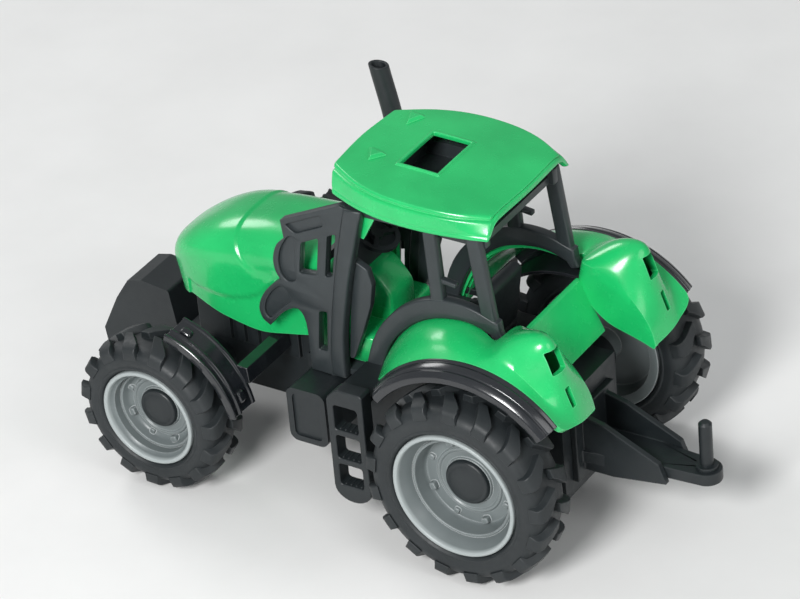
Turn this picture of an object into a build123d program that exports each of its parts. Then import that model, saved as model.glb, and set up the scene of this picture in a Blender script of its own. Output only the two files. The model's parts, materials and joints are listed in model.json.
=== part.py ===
"""Toy farm tractor, about 1:32 scale, as the separate mouldings, axles and gears it is assembled from.

Frame: +X forward, +Y left, +Z up, origin on the ground under the middle of the tractor.
Outlines are drawn with x counted forward from the rear axle, through the planes below.
"""

import os
from math import cos, radians, sin

from build123d import *

os.makedirs("parts", exist_ok=True)

# ---------- Driving dimensions (mm) ----------

wheelbase = 85.5
front_reach = 121.0  # rear axle to the tip of the front weight
rear_reach = 47.0  # rear axle to the tail of the drawbar
rear_x = (rear_reach - front_reach) / 2

wall = 1.5  # usual moulding thickness
press = 0.0  # parts pressed together share one radius
running = 0.05  # radial clearance of a turning shaft

# Wheels
rear_tyre_r = 24.4
rear_tyre_width = 13.8
rear_wheel_y = 33.4
rear_rim_r = 16.0
rear_lugs = 17
rear_cap_r = 5.7
rear_cap_depth = 7.0
rear_brackets = 8
front_tyre_r = 20.2
front_tyre_width = 13.0
front_wheel_y = 32.8
front_rim_r = 12.6
front_lugs = 15
front_cap_r = 5.0
front_cap_depth = 5.4
front_brackets = 6
axle_r = 1.5
axle_end_depth = 3.2  # axle end to the middle plane of the wheel

# Body
frame_outer_y = 18.2
frame_thickness = 2.4
bonnet_half_width = 14.0
bonnet_top_z = 62.5
bonnet_nose_x = 97.6
console_half_width = 7.8
fender_outer_y = 30.0
fender_r = 30.0
lip_outer_y = 35.0

# Chassis and drive
chassis_half_width = 12.5
chassis_floor_z = 11.0
hump_top_z = 36.0
gear_module = 0.6
gear_teeth = 24
pinion_teeth = 8
gear_spacing = gear_module * (gear_teeth + pinion_teeth) / 2
shaft_r = 1.0
flywheel_r = 7.0
case_wall = 1.2

# Hitch
hitch_x = -43.4
hitch_plate_z = 20.5
hitch_plate_thickness = 3.0
hitch_pin_r = 1.6
hitch_pin_free = 11.0

sides = (("left", 1), ("right", -1))


# ---------- Planes ----------

def upright(y):
    """Plane along the tractor at width y: local x forward of the rear axle, local y is height."""
    return Plane(origin=(rear_x, y, 0), x_dir=(1, 0, 0), z_dir=(0, -1, 0))


def level(z):
    """Horizontal plane at height z: local x forward of the rear axle, local y is left."""
    return Plane(origin=(rear_x, 0, z))


def across(x):
    """Plane across the tractor, x ahead of the rear axle: local x is left, local y is height."""
    return Plane(origin=(rear_x + x, 0, 0), x_dir=(0, 1, 0), z_dir=(1, 0, 0))


def on_circle(centre, radius, angle):
    """Point on a circle, with the angle in degrees from forward, turning upwards."""
    return (centre[0] + radius * cos(radians(angle)), centre[1] + radius * sin(radians(angle)))


rear_centre = (0, rear_tyre_r)
front_centre = (wheelbase, front_tyre_r)


# ---------- Wheels ----------

def tyre_solid(radius, width, rim_r, lugs):
    """Lugged tyre about the Y axis, with its middle plane at y = 0."""
    half = width / 2
    seat_r = rim_r - 1.4
    seat_half = half - 1.5
    carcass_r = radius - 2.2
    with BuildPart() as crown:
        with BuildSketch(Plane.XY):
            with BuildLine():
                Polyline((carcass_r - 2.4, -half), (carcass_r - 2.4, half), (radius - 1.2, half - 0.3))
                ThreePointArc((radius - 1.2, half - 0.3), (radius, 0), (radius - 1.2, 0.3 - half))
                Line((radius - 1.2, 0.3 - half), (carcass_r - 2.4, -half))
            make_face()
        revolve(axis=Axis.Y)
    with BuildPart() as lug:
        with BuildSketch(Plane.YZ.offset(carcass_r - 2.4)):
            with BuildLine():
                Polyline((0.4, -1.6), (half, 1.7), (half, 4.6), (half - 2.6, 4.6), (0.4, 1.1), close=True)
            make_face()
        extrude(amount=radius - carcass_r + 3)
        add(crown.part, mode=Mode.INTERSECT)
    pitch = 360 / lugs
    with BuildPart() as tyre:
        with BuildSketch(Plane.XY):
            with BuildLine():
                Polyline((seat_r, -seat_half), (seat_r, seat_half), (rim_r + 0.05, seat_half))
                ThreePointArc((rim_r + 0.05, seat_half), (rim_r + 2.4, half), (carcass_r - 0.9, half - 0.6))
                ThreePointArc((carcass_r - 0.9, half - 0.6), (carcass_r, 0), (carcass_r - 0.9, 0.6 - half))
                ThreePointArc((carcass_r - 0.9, 0.6 - half), (rim_r + 2.4, -half), (rim_r + 0.05, -seat_half))
                Line((rim_r + 0.05, -seat_half), (seat_r, -seat_half))
            make_face()
        revolve(axis=Axis.Y)
        for step in range(lugs):
            add(lug.part, rotation=(0, step * pitch, 0))
            add(lug.part, rotation=(180, (step + 0.5) * pitch, 0))
    return tyre.part


def rim_solid(width, rim_r, cap_r, cap_depth, brackets):
    """Dished rim about the Y axis, with its outer face towards +Y."""
    seat_r = rim_r - 1.4
    seat_half = width / 2 - 1.5
    lip_y = seat_half + 1.2
    cap_y = lip_y - cap_depth
    disc_y = cap_y - 1.1
    with BuildPart() as rim:
        with BuildSketch(Plane.XY):
            with BuildLine():
                Polyline(
                    (rim_r, seat_half),
                    (rim_r, lip_y),
                    (rim_r - 1.0, lip_y),
                    (seat_r - 1.2, seat_half - 1.0),
                    (seat_r - 2.1, disc_y + 2.0),
                    (cap_r + 1.2, disc_y),
                    (axle_r + press, disc_y),
                    (axle_r + press, -lip_y),
                    (axle_r + 2.2, -lip_y),
                    (axle_r + 2.6, disc_y - 1.6),
                    (seat_r - 2.4, disc_y + 0.4),
                    (seat_r - 1.3, disc_y - 1.0),
                    (seat_r - 1.2, -lip_y),
                    (rim_r, -lip_y),
                    (rim_r, -seat_half),
                    (seat_r, -seat_half),
                    (seat_r, seat_half),
                    close=True,
                )
            make_face()
        revolve(axis=Axis.Y)
        with BuildSketch(Plane.XZ.offset(-disc_y)):
            with PolarLocations((seat_r + cap_r) / 2, brackets):
                Rectangle(1.8, 1.5)
        extrude(amount=-2.0)
        with BuildSketch(Plane.XZ.offset(-disc_y)):
            Circle(cap_r - 2.4)
        extrude(amount=axle_end_depth + disc_y + 0.4, mode=Mode.SUBTRACT)
    return rim.part


def cap_solid(width, cap_r, cap_depth):
    """Domed hub cap that plugs into the rim and hides the axle end."""
    cap_y = width / 2 - 1.5 + 1.2 - cap_depth
    with BuildPart() as cap:
        with BuildSketch(Plane.XZ.offset(1.1 - cap_y)):
            Circle(cap_r)
        extrude(amount=-1.1)
        fillet(cap.edges().sort_by(Axis.Y)[-1], radius=0.5)
        with BuildSketch(Plane.XZ.offset(1.1 - cap_y)):
            Circle(cap_r - 2.4)
        extrude(amount=axle_end_depth + cap_y - 1.1)
    return cap.part


def place_wheel(name, centre, wheel_y, tyre, rim, cap):
    """Write the left and right copies of a wheel's three pieces."""
    for side, sign in sides:
        for piece, solid in (("tyre", tyre), ("rim", rim), ("hub_cap", cap)):
            node = f"{name}_{piece}_{side}"
            turned = solid if sign > 0 else mirror(solid, about=Plane.XZ)
            with BuildPart() as placed:
                add(Pos(rear_x + centre[0], sign * wheel_y, centre[1]) * turned)
            placed.part.label = node
            export_step(placed.part, f"parts/{node}.step")


place_wheel(
    "rear",
    rear_centre,
    rear_wheel_y,
    tyre_solid(rear_tyre_r, rear_tyre_width, rear_rim_r, rear_lugs),
    rim_solid(rear_tyre_width, rear_rim_r, rear_cap_r, rear_cap_depth, rear_brackets),
    cap_solid(rear_tyre_width, rear_cap_r, rear_cap_depth),
)
place_wheel(
    "front",
    front_centre,
    front_wheel_y,
    tyre_solid(front_tyre_r, front_tyre_width, front_rim_r, front_lugs),
    rim_solid(front_tyre_width, front_rim_r, front_cap_r, front_cap_depth, front_brackets),
    cap_solid(front_tyre_width, front_cap_r, front_cap_depth),
)

# Steel axles: each wheel is pressed on its end
for name, centre, wheel_y in (("rear", rear_centre, rear_wheel_y), ("front", front_centre, front_wheel_y)):
    with BuildPart() as axle:
        with BuildSketch(upright(0)):
            with Locations(centre):
                Circle(axle_r)
        extrude(amount=wheel_y - axle_end_depth, both=True)
    axle.part.label = f"{name}_axle"
    export_step(axle.part, f"parts/{name}_axle.step")


# ---------- Cab ----------

frame_inner_y = frame_outer_y - frame_thickness
fender_inner_edge = ((32.7, 33.3), (28.8, 43.2), (18.0, 54.5), (5.0, 56.4), (-2.5, 53.5))
fender_inner_lower = ((31.2, 33.0), (27.4, 42.5), (17.4, 53.0), (5.2, 54.9), (-2.0, 52.1))
platform_z = 33.0
cab_floor_z = 37.4

# Dark cab frame: two open sides with scalloped cowls, joined by the floor and the roof deck
with BuildPart() as cab_frame:
    with BuildSketch(upright(frame_outer_y)):
        # cowl panel and front pillar
        with BuildLine():
            Polyline((36.8, 69.5), (33.6, 77.8), (39.3, 78.6), (55.9, 70.6), (56.3, 64.2))
            ThreePointArc((56.3, 64.2), (59.4, 59.5), (58.2, 53.5))
            ThreePointArc((58.2, 53.5), (62.6, 48.2), (61.7, 40.5))
            ThreePointArc((61.7, 40.5), (55.6, 46.3), (51.4, 40.0))
            Polyline((51.4, 40.0), (51.2, 31.5), (42.9, 31.5), (42.9, 36.0))
            ThreePointArc((42.9, 36.0), (41.2, 53.5), (36.8, 69.5))
        make_face()
        # roof rail, centre pillar and rear pillar
        Polygon((1.2, 75.6), (35.5, 75.6), (36.0, 78.2), (1.2, 78.2), align=None)
        Polygon((13.6, 77), (16.8, 77), (16.0, 57), (12.8, 57), align=None)
        Polygon((1.8, 77), (5.2, 77), (2.4, 57), (-0.6, 53.4), (-2.6, 54.2), (-0.8, 58), align=None)
        # band that follows the fender
        with BuildLine():
            Spline(*fender_inner_edge)
            Line(fender_inner_edge[-1], (-1.6, 58.6))
            Spline((-1.6, 58.6), (6.0, 60.9), (20.5, 58.4), (31.4, 47.5), (36.4, 33.3))
            Line((36.4, 33.3), fender_inner_edge[0])
        make_face()
        # openings in the cowl panel
        with Locations((48.3, 62.2)):
            SlotOverall(8.1, 4.2, rotation=90, mode=Mode.SUBTRACT)
        with Locations((43.0, 64.2)):
            SlotOverall(11.5, 2.6, rotation=90, mode=Mode.SUBTRACT)
        with Locations((46.4, 42.4)):
            SlotOverall(10.2, 2.6, rotation=90, mode=Mode.SUBTRACT)
    extrude(amount=frame_thickness)
    # step platform and cab floor
    with BuildSketch(upright(0)):
        Polygon(
            (-2, cab_floor_z - 1.2),
            (34.2, cab_floor_z - 1.2),
            (34.2, platform_z - wall),
            (51, platform_z - wall),
            (51, platform_z),
            (35.6, platform_z),
            (35.6, cab_floor_z),
            (-2, cab_floor_z),
            align=None,
        )
    extrude(amount=-frame_outer_y)
    # roof deck that locates the roof moulding
    with BuildSketch(level(75.6)):
        with Locations((19.0, frame_outer_y / 2)):
            Rectangle(33.0, frame_outer_y)
    extrude(amount=2.4)
    with BuildSketch(level(78.0)):
        with Locations((20.0, 6.8)):
            Rectangle(31.0, 13.6)
        with Locations((20.0, 0)):
            Rectangle(28.0, 24.0, mode=Mode.SUBTRACT)
    extrude(amount=4.0)
    # bulkhead below the windscreen
    with BuildSketch(upright(0)):
        Polygon((49.6, 56.4), (51.2, 56.4), (51.2, 70), (49.6, 71), align=None)
    extrude(amount=-frame_outer_y)
    # instrument hood on the bulkhead, ahead of the steering wheel
    with BuildSketch(upright(0)):
        Polygon((46.6, 56.4), (49.8, 56.4), (49.8, 66), (48.6, 66), (47.6, 60.6), align=None)
    extrude(amount=-9.0)
    mirror(about=Plane.XZ)
cab_frame.part.label = "cab_frame"
export_step(cab_frame.part, "parts/cab_frame.step")

# Green roof: bulged sides that slope in towards a lightly crowned top, open underneath
with BuildPart() as cab_roof:
    for height, front, rear, front_y, middle_y, rear_y in (
        (78.4, 41.8, -1.3, 17.4, 20.2, 18.6),
        (88.6, 40.2, 0.3, 12.6, 16.6, 13.6),
    ):
        with BuildSketch(level(height)):
            with BuildLine():
                Line((rear, -rear_y), (rear, rear_y))
                ThreePointArc((rear, rear_y), (20, middle_y), (front, front_y))
                Line((front, front_y), (front, -front_y))
                ThreePointArc((front, -front_y), (20, -middle_y), (rear, -rear_y))
            make_face()
    loft()
    with BuildSketch(upright(0)):
        with BuildLine():
            ThreePointArc((-3, 79.8), (20, 78.5), (43, 81.4))
            Line((43, 81.4), (43, 86.2))
            ThreePointArc((43, 86.2), (20, 88.4), (-3, 84.9))
            Line((-3, 84.9), (-3, 79.8))
        make_face()
    extrude(amount=25, both=True, mode=Mode.INTERSECT)
    upper_edges = cab_roof.edges().filter_by(lambda edge: edge.center().Z > 84)
    side_edges = upper_edges.filter_by(lambda edge: abs(edge.center().Y) > 8)
    fillet(side_edges, radius=0.8)
    with BuildSketch(level(78.0)):
        with Locations((20.0, 0)):
            Rectangle(34.0, 28.0)
    extrude(amount=6.6, mode=Mode.SUBTRACT)
    with BuildSketch(level(80.0)):
        with Locations((23.1, 0)):
            RectangleRounded(8.4, 12.4, 0.8)
    extrude(amount=10, mode=Mode.SUBTRACT)
cab_roof.part.label = "cab_roof"
export_step(cab_roof.part, "parts/cab_roof.step")

# Seat on the cab floor
with BuildPart() as seat:
    with BuildSketch(upright(0)):
        with BuildLine():
            Polyline(
                (8, cab_floor_z),
                (22, cab_floor_z),
                (22, 43.5),
                (12.5, 43),
                (9.4, 58),
                (6.2, 58),
                close=True,
            )
        make_face()
    extrude(amount=7, both=True)
    fillet(seat.edges().filter_by(lambda edge: edge.center().Z > 40), radius=1.0)
seat.part.label = "seat"
export_step(seat.part, "parts/seat.step")

# ---------- Bonnet ----------


def bonnet_hood(inset):
    """Bonnet outside shape, drawn in by the inset everywhere but below."""
    floor = 10 * inset
    with BuildPart() as hood:
        with BuildSketch(upright(0)):
            with BuildLine():
                Spline(
                    (51.4 - inset, bonnet_top_z - inset),
                    (60, bonnet_top_z - 0.3 - inset),
                    (70, 61.6 - inset),
                    (80 - inset / 2, 59.3 - inset),
                    (87 - inset / 2, 56.2 - inset),
                    (93 - inset, 51.9 - inset),
                    (bonnet_nose_x - inset, 46.5 - inset),
                )
                Polyline(
                    (bonnet_nose_x - inset, 46.5 - inset),
                    (bonnet_nose_x - 0.5 - inset, 38.2 - floor),
                    (87, 38.5 - floor),
                    (78.4, 36.2 - floor),
                    (68.5, 34.6 - floor),
                    (51.4 - inset, 37.8 - floor),
                    (51.4 - inset, bonnet_top_z - inset),
                )
            make_face()
        extrude(amount=bonnet_half_width - inset, both=True)
        with BuildSketch(across(40)):
            with BuildLine():
                half = bonnet_half_width - inset
                Polyline((-half, 0), (-half, 51.5))
                Spline((-half, 51.5), (-half * 0.72, 60.2 - inset), (0, bonnet_top_z + 0.1 - inset))
                Spline((0, bonnet_top_z + 0.1 - inset), (half * 0.72, 60.2 - inset), (half, 51.5))
                Polyline((half, 51.5), (half, 0), (-half, 0))
            make_face()
        extrude(amount=80, mode=Mode.INTERSECT)
        with BuildSketch(level(0)):
            with BuildLine():
                half = bonnet_half_width - inset
                nose = 6.5 - inset
                Polyline((bonnet_nose_x - inset, -nose), (bonnet_nose_x - inset, nose))
                ThreePointArc((bonnet_nose_x - inset, nose), (90.0, half - 2.7), (76, half))
                Polyline((76, half), (40, half), (40, -half), (76, -half))
                ThreePointArc((76, -half), (90.0, 2.7 - half), (bonnet_nose_x - inset, -nose))
            make_face()
        extrude(amount=80, mode=Mode.INTERSECT)
    return hood.part


with BuildPart() as bonnet:
    add(bonnet_hood(0))
    add(bonnet_hood(wall), mode=Mode.SUBTRACT)
    # wide foot and narrow console that run back under the dashboard, inside the cab frame
    with BuildSketch(upright(0)):
        Polygon(
            (35.9, platform_z),
            (51.3, platform_z),
            (51.3, 37.8),
            (52.8, 37.8),
            (52.8, 41),
            (35.9, 41),
            align=None,
        )
    extrude(amount=bonnet_half_width - 0.8, both=True)
    with BuildSketch(upright(0)):
        Polygon((37.6, 40), (52.8, 40), (52.8, 56), (44, 54), (38.4, 50.5), align=None)
    extrude(amount=console_half_width, both=True)
    with BuildSketch(upright(0)):
        Polygon(
            (39.1, 30),
            (49.8, 30),
            (49.8, 38),
            (54, 38),
            (54, 54.4),
            (44.4, 52.4),
            (39.8, 49.6),
            align=None,
        )
    extrude(amount=console_half_width - wall, both=True, mode=Mode.SUBTRACT)
bonnet.part.label = "bonnet"
export_step(bonnet.part, "parts/bonnet.step")

# Steering column and wheel
column_foot = Vector(rear_x + 45.0, 0, 54.23)
wheel_centre = Vector(rear_x + 42.0, 0, 60.5)
column_plane = Plane(origin=wheel_centre, z_dir=(wheel_centre - column_foot).normalized())
with BuildPart() as steering_column:
    with BuildSketch(column_plane):
        Circle(1.0)
    extrude(amount=-(wheel_centre - column_foot).length + 0.6)
steering_column.part.label = "steering_column"
export_step(steering_column.part, "parts/steering_column.step")

with BuildPart() as steering_wheel:
    with BuildSketch(column_plane):
        Circle(5.6)
        Circle(4.5, mode=Mode.SUBTRACT)
        Circle(1.6)
        with PolarLocations(3.0, 3):
            Rectangle(4.4, 1.1)
    extrude(amount=1.1)
steering_wheel.part.label = "steering_wheel"
export_step(steering_wheel.part, "parts/steering_wheel.step")

# ---------- Fenders ----------

hump_front_x = -3.2
hump_inner_y = 14.0
hump_top = ((-4.5, 58.0), (-9.5, 61.8), (-15.5, 62.0), (-19.5, 57.5))
lamp_y = 22.0


def rear_arc(radius, start, end):
    """Arc about the rear axle between two angles, for the line builder in use."""
    middle = (start + end) / 2
    points = [on_circle(rear_centre, radius, angle) for angle in (start, middle, end)]
    return ThreePointArc(*points)


with BuildPart() as rear_fenders:
    # curved wing from the cab side out to the round wheel arch
    with BuildSketch(upright(frame_outer_y)):
        with BuildLine():
            Spline(*fender_inner_edge)
            Line(fender_inner_edge[-1], fender_inner_lower[-1])
            Spline(*reversed(fender_inner_lower))
            Line(fender_inner_lower[0], fender_inner_edge[0])
        make_face()
    with BuildSketch(upright(fender_outer_y)):
        with BuildLine():
            rear_arc(fender_r, 38, 126)
            Line(on_circle(rear_centre, fender_r, 126), on_circle(rear_centre, fender_r - wall, 126))
            rear_arc(fender_r - wall, 126, 38)
            Line(on_circle(rear_centre, fender_r - wall, 38), on_circle(rear_centre, fender_r, 38))
        make_face()
    loft()
    # hump that carries the rear lamp
    with BuildSketch(upright(fender_outer_y)):
        with BuildLine():
            Polyline(
                on_circle(rear_centre, fender_r - wall, 97),
                *hump_top,
                (-24.9, 46.4),
                (-24.6, 43.6),
                on_circle(rear_centre, fender_r - wall, 140),
            )
            rear_arc(fender_r - wall, 140, 97)
        make_face()
    extrude(amount=fender_outer_y - hump_inner_y)
    hump_rim = rear_fenders.edges().filter_by(
        lambda edge: edge.center().Y > fender_outer_y - 0.1
        and edge.center().Z > 44.5
        and edge.center().X < rear_x - 4
        and edge.geom_type == GeomType.LINE
    )
    chamfer(hump_rim, length=2.4)
    # inner side wall, then the hollow under the hump
    with BuildSketch(upright(hump_inner_y + wall)):
        Polygon((hump_front_x, 50.5), *hump_top, (-22, 48), (-21, 38.8), (-9, 38.8), align=None)
    extrude(amount=wall)
    with BuildSketch(upright(fender_outer_y - 2.6)):
        Polygon(
            (-5, 38),
            (-5, 56.6),
            (-9.9, 60.2),
            (-14.9, 60.4),
            (-18.0, 56.8),
            (-23.0, 45.8),
            (-20, 38),
            align=None,
        )
    extrude(amount=fender_outer_y - 2.6 - hump_inner_y - wall, mode=Mode.SUBTRACT)
    # lamp opening and the slot below it, in the sloping rear face
    rear_face = Plane(origin=(rear_x - 21.8, lamp_y, 53.8), x_dir=(0, 1, 0), z_dir=(-0.85, 0, 0.53))
    with BuildSketch(rear_face):
        RectangleRounded(4.2, 4.6, 0.5)
        with Locations((0, -7.2)):
            SlotOverall(3.4, 1.2, rotation=90)
    extrude(amount=2.5, both=True, mode=Mode.SUBTRACT)
    mirror(about=Plane.XZ)
    # sloping bar that joins the two fenders behind the cab
    with BuildSketch(upright(0)):
        Polygon((-3.2, 51.4), (-9, 39), (-10.5, 39.7), (-4.7, 52.1), align=None)
    extrude(amount=hump_inner_y + 0.5, both=True)
rear_fenders.part.label = "rear_fenders"
export_step(rear_fenders.part, "parts/rear_fenders.step")

# Glossy black wheel-arch mouldings: a liner under each fender that ends in an outer lip
lip_start = 36
liner_outer_r = fender_r - wall - 1.3
liner_inner_r = liner_outer_r - 0.8
liner_inner_y = 16.0
lip_plane = Plane(
    origin=(rear_x, 0, rear_tyre_r),
    x_dir=(cos(radians(lip_start)), 0, sin(radians(lip_start))),
    z_dir=(-sin(radians(lip_start)), 0, cos(radians(lip_start))),
)
for side, sign in sides:
    with BuildPart() as fender_lip:
        with BuildSketch(lip_plane):
            with BuildLine():
                outer_y = sign * lip_outer_y
                inner_y = sign * fender_outer_y
                Polyline(
                    (fender_r, inner_y),
                    (liner_outer_r, inner_y),
                    (liner_outer_r, sign * liner_inner_y),
                    (liner_inner_r, sign * liner_inner_y),
                    (liner_inner_r, inner_y),
                    (26.8, outer_y),
                    (28.0, outer_y),
                )
                ThreePointArc((28.0, outer_y), (29.5, sign * 32.6), (fender_r, inner_y))
            make_face()
        revolve(axis=Axis((rear_x, 0, rear_tyre_r), (0, -1, 0)), revolution_arc=103)
    fender_lip.part.label = f"fender_lip_{side}"
    export_step(fender_lip.part, f"parts/fender_lip_{side}.step")

# ---------- Steps, tanks and front mudguards ----------

step_inner_y = 31.0
step_outer_y = 35.0
for side, sign in sides:
    with BuildPart() as steps:
        with BuildSketch(upright(sign * step_outer_y)):
            with BuildLine():
                Polyline((26, 41), (26, 14))
                ThreePointArc((26, 14), (31, 10), (36, 14))
                Polyline((36, 14), (36, 38), (33, 41), (26, 41))
            make_face()
            for low, high in ((14.5, 20.3), (21.9, 28.3), (29.9, 36.6)):
                with Locations((31, (low + high) / 2)):
                    RectangleRounded(6.4, high - low, 0.6, mode=Mode.SUBTRACT)
        extrude(amount=sign * (step_outer_y - step_inner_y))
        with BuildSketch(level(platform_z - wall)):
            with Locations((31, sign * (step_inner_y + frame_outer_y) / 2)):
                Rectangle(9.0, step_inner_y - frame_outer_y)
        extrude(amount=wall)
    steps.part.label = f"steps_{side}"
    export_step(steps.part, f"parts/steps_{side}.step")

    with BuildPart() as side_tank:
        with BuildSketch(upright(sign * 26.5)):
            with Locations((48, 23.8)):
                RectangleRounded(10.6, 14.8, 2.2)
        extrude(amount=sign * (26.5 - chassis_half_width))
        with BuildSketch(upright(sign * 26.5)):
            with Locations((48, 23.8)):
                RectangleRounded(7.6, 11.8, 1.2)
        extrude(amount=sign * 0.6, mode=Mode.SUBTRACT)
    side_tank.part.label = f"side_tank_{side}"
    export_step(side_tank.part, f"parts/side_tank_{side}.step")

    with BuildPart() as mudguard:
        with BuildSketch(upright(sign * 36)):
            with BuildLine():
                ThreePointArc(*[on_circle(front_centre, 24.3, angle) for angle in (105, 136, 168)])
                Line(on_circle(front_centre, 24.3, 168), on_circle(front_centre, 22.8, 168))
                ThreePointArc(*[on_circle(front_centre, 22.8, angle) for angle in (168, 136, 105)])
                Line(on_circle(front_centre, 22.8, 105), on_circle(front_centre, 24.3, 105))
            make_face()
        extrude(amount=sign * 9)
        with BuildSketch(upright(sign * 28)):
            Polygon((62.4, 30), (65.4, 30), (65.4, 34.2), (62.4, 34.2), align=None)
        extrude(amount=sign * 18.2)
    mudguard.part.label = f"front_mudguard_{side}"
    export_step(mudguard.part, f"parts/front_mudguard_{side}.step")

# ---------- Chassis ----------

beam_half_width = 8.0
beam_bottom_z = 14.0
beam_top_z = 26.0
screw_spots = [(x, y) for x in (31.2, 52.0) for y in (-9.0, 9.0)]

with BuildPart() as chassis:
    # gearbox hump, middle tub and front beam
    with BuildSketch(upright(0)):
        Polygon(
            (-13, chassis_floor_z),
            (56, chassis_floor_z),
            (56, 31.2),
            (34, 31.2),
            (34, hump_top_z),
            (-13, hump_top_z),
            align=None,
        )
    extrude(amount=chassis_half_width, both=True)
    with BuildSketch(upright(0)):
        Polygon(
            (50, beam_bottom_z),
            (97.9, beam_bottom_z),
            (97.9, 22),
            (94, beam_top_z),
            (50, beam_top_z),
            align=None,
        )
    extrude(amount=beam_half_width, both=True)
    # axle housings
    for centre, radius, reach in ((rear_centre, 5.5, 25.4), (front_centre, 4.6, 25.2)):
        with BuildSketch(upright(0)):
            with Locations(centre):
                Circle(radius)
        extrude(amount=reach, both=True)
    # hollow for the gearbox, open below
    with BuildSketch(upright(0)):
        Polygon(
            (-11.5, 0),
            (54.5, 0),
            (54.5, 29.7),
            (32.5, 29.7),
            (32.5, hump_top_z - wall),
            (-11.5, hump_top_z - wall),
            align=None,
        )
    extrude(amount=chassis_half_width - wall, both=True, mode=Mode.SUBTRACT)
    # screw posts
    with BuildSketch(level(chassis_floor_z)):
        with Locations(*screw_spots):
            Circle(2.5)
    extrude(amount=9)
    with BuildSketch(level(chassis_floor_z)):
        with Locations(*screw_spots):
            Circle(1.0)
    extrude(amount=7, mode=Mode.SUBTRACT)
    # axle bores
    with BuildSketch(upright(0)):
        with Locations(rear_centre, front_centre):
            Circle(axle_r + running)
    extrude(amount=40, both=True, mode=Mode.SUBTRACT)
chassis.part.label = "chassis"
export_step(chassis.part, "parts/chassis.step")

with BuildPart() as belly_plate:
    with BuildSketch(level(chassis_floor_z - wall)):
        with Locations((21.5, 0)):
            RectangleRounded(69, 2 * chassis_half_width, 1.5)
        with Locations(*screw_spots):
            Circle(1.2, mode=Mode.SUBTRACT)
    extrude(amount=wall)
    with BuildSketch(level(chassis_floor_z - wall)):
        with Locations(*screw_spots):
            Circle(2.1)
    extrude(amount=0.9, mode=Mode.SUBTRACT)
belly_plate.part.label = "belly_plate"
export_step(belly_plate.part, "parts/belly_plate.step")

with BuildPart() as base_screws:
    with BuildSketch(level(chassis_floor_z - wall)):
        with Locations(*screw_spots):
            Circle(2.0)
    extrude(amount=0.9)
    with BuildSketch(level(chassis_floor_z - wall)):
        with Locations(*screw_spots):
            Circle(1.0 + press)
    extrude(amount=7.5)
    with BuildSketch(level(chassis_floor_z - wall)):
        with Locations(*screw_spots):
            Rectangle(2.4, 0.5)
            Rectangle(0.5, 2.4)
    extrude(amount=0.5, mode=Mode.SUBTRACT)
base_screws.part.label = "base_screws"
export_step(base_screws.part, "parts/base_screws.step")

with BuildPart() as engine_block:
    with BuildSketch(upright(0)):
        Polygon((57, beam_top_z), (90, beam_top_z), (90, 40), (86, 44), (57, 44), align=None)
    extrude(amount=8.6, both=True)
    with BuildSketch(upright(0)):
        for x in (69, 73, 77, 81):
            with Locations((x, 31)):
                Rectangle(2.0, 8.0)
        with Locations((63.9, 31)):
            Rectangle(7.0, 8.6)
    extrude(amount=9.8, both=True)
engine_block.part.label = "engine_block"
export_step(engine_block.part, "parts/engine_block.step")

# Slab weight on the nose, with the gaps between its plates
weight_half_width = 6.6
with BuildPart() as front_weight:
    with BuildSketch(upright(0)):
        Polygon(
            (98, 20),
            (104, 10),
            (120, 10),
            (121, 17),
            (116, 27),
            (112, 33),
            (108, 34),
            (100, 33),
            align=None,
        )
    extrude(amount=weight_half_width, both=True)
    fillet(front_weight.edges().filter_by(Axis.Y), radius=0.8)
    with BuildSketch(across(118)):
        with GridLocations(weight_half_width / 2, 0, 3, 1):
            with Locations((0, 20)):
                Rectangle(0.6, 40)
    extrude(amount=10, mode=Mode.SUBTRACT)
front_weight.part.label = "front_weight"
export_step(front_weight.part, "parts/front_weight.step")

# Exhaust stack on the right, leaning forward at the top, held by a clip on the cab frame
stack_path = [(49.0, -20.6, 44.0), (49.0, -21.2, 62.0), (49.6, -24.0, 79.0), (53.7, -25.2, 91.0)]
with BuildPart() as exhaust_stack:
    with BuildLine() as stack_line:
        Spline(*[(rear_x + x, y, z) for x, y, z in stack_path])
    with BuildSketch(Plane(origin=stack_line.line @ 0, z_dir=stack_line.line % 0)):
        Circle(1.9)
    sweep()
    with BuildSketch(Plane(origin=stack_line.line @ 1, z_dir=stack_line.line % 1)):
        Circle(1.3)
    extrude(amount=-6, mode=Mode.SUBTRACT)
    with BuildSketch(level(48)):
        with Locations((49, -(frame_outer_y + 20.4) / 2)):
            Rectangle(3.0, 20.4 - frame_outer_y)
    extrude(amount=3)
exhaust_stack.part.label = "exhaust_stack"
export_step(exhaust_stack.part, "parts/exhaust_stack.step")

# ---------- Hitch ----------

with BuildPart() as hitch_bracket:
    with BuildSketch(level(hitch_plate_z - hitch_plate_thickness)):
        with BuildLine():
            Polyline((-13, -7), (-13, 7), (-30, 4.5), (-43.4, 3.6))
            ThreePointArc((-43.4, 3.6), (-rear_reach, 0), (-43.4, -3.6))
            Polyline((-43.4, -3.6), (-30, -4.5), (-13, -7))
        make_face()
        with Locations((hitch_x, 0)):
            Circle(1.3, mode=Mode.SUBTRACT)
    extrude(amount=hitch_plate_thickness)
    with BuildSketch(across(-13)):
        with Locations((0, 22)):
            Rectangle(18, 18)
    extrude(amount=-wall)
    with BuildSketch(upright(6.0)):
        Polygon((-14, 15), (-14, 30), (-20, 28.5), (-34, 22), (-36, 17), (-22, 15), align=None)
    extrude(amount=wall)
    with BuildSketch(upright(-4.5)):
        Polygon((-14, 15), (-14, 30), (-20, 28.5), (-34, 22), (-36, 17), (-22, 15), align=None)
    extrude(amount=wall)
hitch_bracket.part.label = "hitch_bracket"
export_step(hitch_bracket.part, "parts/hitch_bracket.step")

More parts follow.
